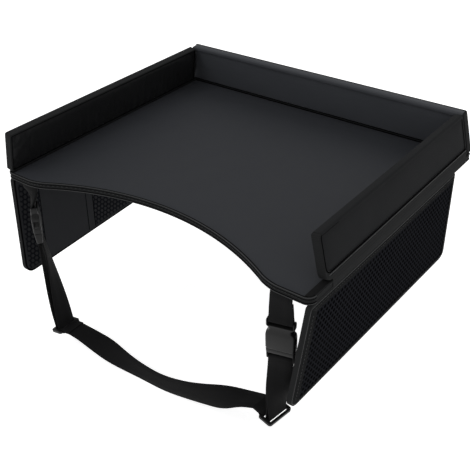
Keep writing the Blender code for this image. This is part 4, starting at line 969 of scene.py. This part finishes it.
POCKET = (0.013, 0.0040, 0.009, 0.0045)
POCKET_BASE = PANEL_THICK / 2.0 - MARGIN_THICK
STITCH_INS = (0.0080, 0.0028, 0.0050, 0.0032)
for side, label in PANELS:
    half = PANEL_THICK / 2.0
    seam = [PANEL_EDGE] * 4
    edge = [PANEL_EDGE + GAP] * 4
    lip = [value - 0.0004 for value in POCKET]
    rings = [panel_ring(side, POCKET_BASE, *edge), panel_ring(side, half - 0.0002, *edge),
             panel_ring(side, half, *[value + 0.0006 for value in edge]), panel_ring(side, half, *lip),
             panel_ring(side, half - 0.0004, *POCKET), panel_ring(side, POCKET_BASE, *POCKET)]
    margin = swept(label + "_pocket_frame", rings)
    dress(margin, label, "dark_margin", label + "_margin", slot="cover_fabric")
    rings = []
    for i in range(9):
        turn = math.radians(-90.0 + 180.0 * i / 8)
        rings.append(panel_ring(side, half * math.sin(turn), 0.0, 0.0, -half * math.cos(turn), 0.0))
    rings += [panel_ring(side, half, *seam), panel_ring(side, -half, *seam)]
    band = swept(label + "_band", rings)
    dress(band, label, "binding_tape", label + "_binding")
    # The outer piping and the stitches take the pale cord colour: a painted highlight.
    for end, ins in (("outer", seam), ("pocket", POCKET)):
        cord = piping(label + "_" + end + "_piping", panel_ring(side, half - 0.0001, *ins), 0.00035)
        dress(cord, label, "bright_piping" if end == "outer" else "binding_tape", slot="binding_tape")
    sewn = stitches(label + "_stitches", panel_ring(side, half + 0.0001, *STITCH_INS), 0.0038, 0.0002)
    dress(sewn, label, "bright_piping", slot="binding_tape")
    print(margin.name, len(margin.data.polygons), "faces")

# %% [markdown]
# The pocket is a knitted net. Its holes are six-sided and stand in staggered rows. A net
# could be a pattern of see-through spots on one sheet, but real holes look right from close
# by. One cell is drawn as a six-sided ring, doubled for the second row, and repeated by two
# arrays.

# %% Mesh pockets
CELL, CELL_TALL, ASKEW = 0.0033, 1.14, 0.34
YARN, YARN_THICK = CELL * 0.28, 0.0005
CELL_WIDTH = math.sqrt(3.0) * CELL
ROW_PAIR = 3.0 * CELL


def net_sheet(name, wide, high):
    bpy.ops.object.select_all(action="DESELECT")
    bpy.ops.mesh.primitive_circle_add(vertices=6, radius=CELL, fill_type="NGON")
    net = bpy.context.object
    net.name = net.data.name = name
    bpy.ops.object.mode_set(mode="EDIT")
    bpy.ops.mesh.select_all(action="SELECT")
    bpy.ops.mesh.inset(thickness=YARN)
    bpy.ops.mesh.delete(type="FACE")
    bpy.ops.mesh.select_all(action="SELECT")
    bpy.ops.mesh.duplicate_move(TRANSFORM_OT_translate={"value": (CELL_WIDTH / 2.0, 1.5 * CELL, 0.0)})
    bpy.ops.object.mode_set(mode="OBJECT")
    across = int((wide + ASKEW * high) / CELL_WIDTH) + 3
    upwards = int(high / ROW_PAIR) + 2
    for count, step in ((across, (CELL_WIDTH, 0.0, 0.0)), (upwards, (0.0, ROW_PAIR, 0.0))):
        finish_modifier(net, "ARRAY", count=count, use_relative_offset=False, use_constant_offset=True,
                        constant_offset_displace=step, use_merge_vertices=True, merge_threshold=0.00002)
    for vert in net.data.vertices:
        vert.co.y *= CELL_TALL
        vert.co.x += ASKEW * (vert.co.y - high)
    return net


def trim(net, place, normal):
    """Cut away what lies beyond a line, on the side that the normal points to."""
    only(net)
    bpy.ops.object.mode_set(mode="EDIT")
    bpy.ops.mesh.select_all(action="SELECT")
    bpy.ops.mesh.bisect(plane_co=place, plane_no=normal, clear_outer=True)
    bpy.ops.object.mode_set(mode="OBJECT")


def net_on_panel(name, side, x0, x1, y0, y1, depth, slack):
    """A net between two places along the panel and two drops, at a depth in it."""
    net = net_sheet(name, x1 - x0, y1 - y0)
    for place, normal in (((0.0, 0.0, 0.0), (-1.0, 0.0, 0.0)), ((x1 - x0, 0.0, 0.0), (1.0, 0.0, 0.0)),
                          ((0.0, 0.0, 0.0), (0.0, -1.0, 0.0)), ((0.0, y1 - y0, 0.0), (0.0, 1.0, 0.0))):
        trim(net, place, normal)
    flat = [(vert.co.x, vert.co.y) for vert in net.data.vertices]
    cloth_map(net, flat)
    for vert, (x, y) in zip(net.data.vertices, flat):
        drop = y0 + y
        start, end, _ = panel_ends(drop, 0.0018)
        along = min(max(x0 + x, start), end)
        vert.co = on_panel(side, along, drop, depth + slack * math.sin(x * 60.0) * math.sin(y * 75.0))
    finish_modifier(net, "SOLIDIFY", thickness=YARN_THICK, offset=0.0)
    outward_faces(net)
    print(net.name, len(net.data.polygons), "faces")
    return net


for side, label in PANELS:
    x0, x1 = PANEL_FRONT + POCKET[0], PANEL_BACK - POCKET[1]
    y0, y1 = POCKET[2], PANEL_DROP - POCKET[3]
    net = net_on_panel(label + "_net", side, x0, x1, y0, y1, POCKET_BASE + 0.0006, 0.0002)
    dress(net, label, "pocket_mesh", label + "_mesh")
    y1 - y0
    label + "_margin"

# %% [markdown]
# The inside of a panel has two more strips of net, at its front and behind a seam, sewn flat
# on the lining. They were read from the inside of the left panel, which the photograph shows.

# %% Inner nets
NET_TOP, NET_FOOT = 0.008, 0.005
for side, label in PANELS:
    inner = -PANEL_THICK / 2.0
    for name, x0, x1 in (("front", PANEL_FRONT + 0.005, -0.129), ("back", -0.050, PANEL_BACK - 0.005)):
        ins = (x0 - PANEL_FRONT - 0.0005, PANEL_BACK - x1 - 0.0005, 0.0075, 0.0045)
        # A near-black sheet behind each inner net: painted shade that the holes show.
        behind = label + "_" + name + "_net_painted_shade"
        behind = panel_sheet(behind, side, 0.0, inner - 0.0001, -side * 0.0002, 0.0, ins)
        dress(behind, label, "seam_tape", slot="lining_fabric")
        net = label + "_" + name + "_inner_net"
        net = net_on_panel(net, side, x0, x1, NET_TOP, PANEL_DROP - NET_FOOT, inner - 0.0004, 0.0)
        dress(net, label, "pocket_mesh")
        size = (x1 - x0, PANEL_DROP - NET_TOP - NET_FOOT)
        label + "_inner_sheet"
    for name, along in (("front", -0.1285), ("middle", -0.061), ("back", -0.0505)):
        drops = [0.004 + (PANEL_DROP - 0.008) * i / 20 for i in range(21)]
        line = [on_panel(side, along, drop, inner - 0.0002) for drop in drops]
        dress(piping(label + "_" + name + "_inner_seam", line, 0.0006, False), label, "seam_tape")
    edge = panel_ring(side, inner + 0.0001, *[0.0016] * 4)
    dress(piping(label + "_inner_edge_seam", edge, 0.0009), label, "seam_tape")

# %% [markdown]
# ## Webbing
# The straps are flat woven webbing. A curve with a flat section would be quicker, but it
# can't be told how the width turns. So each strap is drawn through stations, which give its
# middle and the direction of its width, and it can twist between its ends.

# %% Webbing through stations
WEB_WIDTH, WEB_THICK = 0.024, 0.0012
BAR_RADIUS = 0.0014
EYE_RADIUS = BAR_RADIUS + GAP + WEB_THICK / 2.0
LAYER = (WEB_THICK + GAP) / 2.0
WEB_CORNER = 0.00035


def strap(name, stations, closed=False, squared=False):
    rings, count = [], len(stations)
    for i, (centre, across) in enumerate(stations):
        ahead = stations[(i + 1) % count][0] if closed else stations[min(i + 1, count - 1)][0]
        behind = stations[i - 1][0] if closed else stations[max(i - 1, 0)][0]
        along = (ahead - behind).normalized()
        wide = (across - along * across.dot(along) if squared else across).normalized()
        thin = along.cross(wide).normalized()
        w, t, c = WEB_WIDTH / 2.0, WEB_THICK / 2.0, WEB_CORNER
        corners = ((-w, -t + c), (-w + c, -t), (-w / 3, -t), (w / 3, -t), (w - c, -t), (w, -t + c),
                   (w, t - c), (w - c, t), (w / 3, t), (-w / 3, t), (-w + c, t), (-w, t - c))
        rings.append([centre + wide * a + thin * b for a, b in corners])
    return swept(name, rings, closed=closed, sharp=55.0)


def direction(turn_deg):
    turn = math.radians(turn_deg)
    return Vector((math.cos(turn), math.sin(turn), 0.0))


ANCHOR_SPACING, ANCHOR_SETBACK = 0.334, 0.0036
SOCKET_LENGTH, PLUG_LENGTH = 0.033, 0.013
BUCKLE_DROP = {-1.0: 0.056, 1.0: 0.064}
BUCKLE_TURN = {-1.0: -40.0, 1.0: 15.0}
SLIDER_SPOT = {-1.0: Vector((-0.146, -0.162, -0.187)), 1.0: Vector((0.160, -0.160, -0.151))}
SLIDER_TURN, SLIDER_TILT = {-1.0: -90.0, 1.0: 82.0}, {-1.0: 12.0, 1.0: 8.0}
LOOP_BULGE = {-1.0: 0.0022, 1.0: 0.0004}
SLIDER_LENGTH, SLIDER_RAIL = 0.0170, 0.0028
SLOT_HEIGHT = 2.0 * (WEB_THICK + GAP) + GAP


def anchor_place(side):
    y = -TRAY_DEPTH / 2.0 + ANCHOR_SETBACK
    return Vector((side * ANCHOR_SPACING / 2.0, y, -GAP - WEB_THICK / 2.0))


def buckle_place(side):
    anchor = anchor_place(side)
    turn = Matrix.Rotation(math.radians(BUCKLE_TURN[side]), 4, "Z")
    return Matrix.Translation((anchor.x, anchor.y, -BUCKLE_DROP[side])) @ turn


def slider_matrix(side):
    across = direction(SLIDER_TURN[side])
    towards = Vector((-across.y, across.x, 0.0))
    tilt = Matrix.Rotation(math.radians(SLIDER_TILT[side]), 4, across)
    axes = Matrix((across, towards, across.cross(towards))).transposed().to_4x4()
    return Matrix.Translation(SLIDER_SPOT[side]) @ tilt @ axes


def bar_turn(bar, turn_deg, downward, steps=14):
    across = direction(turn_deg)
    normal = Vector((-across.y, across.x, 0.0))
    made = []
    for i in range(steps + 1):
        angle = math.pi * i / steps
        centre = bar + normal * (EYE_RADIUS * math.cos(angle))
        centre.z -= downward * EYE_RADIUS * math.sin(angle)
        made.append((centre, across))
    return made


def anchor_stations(side):
    top, bar = anchor_place(side), buckle_place(side) @ Vector((0.0, 0.0, SOCKET_LENGTH - BAR_RADIUS))
    turn, fold = BUCKLE_TURN[side], 0.005 / (anchor_place(side).z - bar.z)

    def station(share, offset):
        across = direction(turn * ease(share))
        return top.lerp(bar, share) + Vector((-across.y, across.x, 0.0)) * offset, across

    shares = [0.25 + 0.53 * i / 16 for i in range(17)]
    made = [station(0.0, 0.0), station(fold / 2.0, -LAYER * 0.4), station(fold, -LAYER)]
    made += [station(share, -LAYER) for share in shares] + [station(0.90, -(LAYER + EYE_RADIUS) / 2.0)]
    made += bar_turn(bar, turn, 1.0)[::-1] + [station(0.90, (LAYER + EYE_RADIUS) / 2.0)]
    return made + [station(share, LAYER) for share in reversed(shares)]


def loop_stations(side):
    high = buckle_place(side) @ Vector((0.0, 0.0, -PLUG_LENGTH + BAR_RADIUS))
    middle = -SLIDER_LENGTH / 2.0 + SLIDER_RAIL + SLOT_HEIGHT + BAR_RADIUS
    low = slider_matrix(side) @ Vector((0.0, middle, 0.0))
    start, end = BUCKLE_TURN[side], SLIDER_TURN[side]
    layer = LAYER + LOOP_BULGE[side]
    run = []
    for i in range(45):
        share = 0.06 + 0.88 * i / 44
        across = direction(start + (end - start) * ease(share))
        pinch = min(1.0, min(share, 1.0 - share) / 0.22)
        gap = EYE_RADIUS + (layer - EYE_RADIUS) * ease(pinch)
        run.append((high.lerp(low, share), across, Vector((-across.y, across.x, 0.0)), gap))
    down = [(centre - normal * gap, across) for centre, across, normal, gap in run]
    up = [(centre + normal * gap, across) for centre, across, normal, gap in reversed(run)]
    return bar_turn(high, start, -1.0) + down + bar_turn(low, end, 1.0)[::-1] + up


STRAP_SAG, STRAP_NECK = 0.031, 0.012
SAG = ((0.00, 0.00, 0.00), (0.06, 0.10, 0.06), (0.15, 0.32, 0.30), (0.26, 0.62, 0.66), (0.38, 0.86, 0.92),
       (0.50, 1.00, 1.00), (0.62, 0.92, 0.96), (0.74, 0.70, 0.78), (0.85, 0.40, 0.44), (0.94, 0.13, 0.12),
       (1.00, 0.00, 0.00))


def between_rows(rows, steps):
    """Smooth rows of numbers, with as many steps between two rows."""
    made = []
    for i in range(len(rows) - 1):
        four = (rows[max(i - 1, 0)], rows[i], rows[i + 1], rows[min(i + 2, len(rows) - 1)])
        for k in range(steps):
            s = k / steps
            made.append(tuple(b + ((c - a) * s + (2.0 * a - 5.0 * b + 4.0 * c - d) * s ** 2
                                   + (3.0 * b - a - 3.0 * c + d) * s ** 3) / 2.0
                              for a, b, c, d in zip(*four)))
    return made + [rows[-1]]


def eye_stations(bar, towards, upward, across):
    neck, lift = bar + towards * EYE_RADIUS * 2.0, upward * LAYER * 1.2
    made = [(bar + towards * STRAP_NECK + upward * LAYER, across), (neck + lift, across)]
    for i in range(15):
        angle = math.radians(70.0 + 220.0 * i / 14)
        outward = towards * (EYE_RADIUS * math.cos(angle)) + upward * (EYE_RADIUS * math.sin(angle))
        made.append((bar + outward, across))
    return made + [(neck - lift, across)]


def waist_stations():
    ends = {}
    for side in (-1.0, 1.0):
        axes = slider_matrix(side).to_3x3()
        bar = slider_matrix(side) @ Vector((0.0, SLIDER_LENGTH / 2.0 - BAR_RADIUS, 0.0))
        ends[side] = (bar, axes.col[1], axes.col[2], direction(SLIDER_TURN[side]) * -side)
    start = ends[-1.0][0] + ends[-1.0][1] * STRAP_NECK
    end = ends[1.0][0] + ends[1.0][1] * STRAP_NECK
    made = eye_stations(*ends[-1.0])
    for share, drop, stand in between_rows(SAG, 8):
        centre = start.lerp(end, share)
        centre.z -= STRAP_SAG * drop + LAYER * (1.0 - drop)
        flat = ends[-1.0][3].lerp(ends[1.0][3], share).normalized()
        made.append((centre, (flat * (1.0 - stand) + Vector((0.0, 0.0, -1.0)) * stand).normalized()))
    return made + eye_stations(*ends[1.0])[::-1]

# %% [markdown]
# Each strap then takes its stations. The lengths that are printed are those along the
# middle of the webbing, for whoever cuts it.

# %% Straps
def run_length(stations, closed):
    pairs = zip(stations, stations[1:] + (stations[:1] if closed else []))
    return sum((b[0] - a[0]).length for a, b in pairs)


for side, label in ((-1.0, "left"), (1.0, "right")):
    for kind, stations, closed in (("anchor", anchor_stations(side), False),
                                   ("loop", loop_stations(side), True)):
        made = strap(label + "_" + kind + "_strap", stations, closed)
        dress(made, "straps", "webbing", label + "_" + kind + "_webbing")
        print(made.name, round(run_length(stations, closed) * 1000.0), "mm")
waist = strap("waist_belt", waist_stations(), squared=True)
dress(waist, "straps", "webbing", "waist_strap")
print("waist_belt", round(run_length(waist_stations(), False) * 1000.0), "mm")

# %% [markdown]
# ## Buckles, sliders and small trim
# The mouldings have the right shape in the solids, but moulded edges are never knife sharp.
# A copy of each solid is merged, and a Bevel modifier rounds its edges, which then catch
# the light.

# %% Rounded copies of solids
DOUBLES, FLAT_ANGLE, BEVEL_ANGLE = 0.000002, math.radians(1.0), math.radians(38.0)


def softened(name, node, body, finish, radius, slot=None):
    obj = bpy.data.objects.new(name, frame["nodes"][node].data.copy())
    obj.data.name = name
    bpy.context.scene.collection.objects.link(obj)
    only(obj)
    bpy.ops.object.mode_set(mode="EDIT")
    bpy.ops.mesh.select_all(action="SELECT")
    bpy.ops.mesh.remove_doubles(threshold=DOUBLES)
    bpy.ops.mesh.dissolve_limited(angle_limit=FLAT_ANGLE)
    bpy.ops.object.mode_set(mode="OBJECT")
    finish_modifier(obj, "BEVEL", width=radius, segments=2, limit_method="ANGLE",
                    angle_limit=BEVEL_ANGLE, use_clamp_overlap=True)
    outward_faces(obj)
    flat = []
    for vert in obj.data.vertices:
        n = vert.normal
        flat.append((vert.co.y + vert.co.x, vert.co.z) if abs(n.z) < 0.7 else (vert.co.x, vert.co.y))
    cloth_map(obj, flat)
    only(obj)
    bpy.ops.object.shade_smooth_by_angle(angle=math.radians(45.0))
    return dress(obj, body, finish, node, slot=slot)


for label in ("left", "right"):
    rounded_pieces = [
        ("_socket_shell", "_buckle_socket", "straps", "buckle_plastic", 0.0004),
        ("_plug_body", "_buckle_plug", "straps", "buckle_plastic", 0.0004),
        ("_slider_frame", "_slider", "straps", "buckle_plastic", 0.0004),
        ("_inner_arm_bar", "_plug_arm_inner", label + "_inner_arm", "buckle_plastic", 0.0002),
        ("_outer_arm_bar", "_plug_arm_outer", label + "_outer_arm", "buckle_plastic", 0.0002),
        ("_tab", "_anchor_tab", "tray", "webbing", 0.0002),
        ("_wall_seam", "_wall_tape", "tray", "webbing", 0.0002, "seam_tape"),
        ("_panel_seam", "_panel_tape", "tray", "seam_tape", 0.0002),
        ("_hook_pad", "_wall_hook_patch", label + "_wall", "hook_and_loop", 0.0001),
        ("_loop_pad", "_loop_patch", "back_wall", "hook_and_loop", 0.0001)]
    for name, node, *rest in rounded_pieces:
        softened(label + name, label + node, *rest)
softened("back_wall_seam", "back_wall_tape", "tray", "seam_tape", 0.0002)
softened("tray_underside_cloth", "tray_bottom_cover", "tray", "cover_fabric", 0.0002)
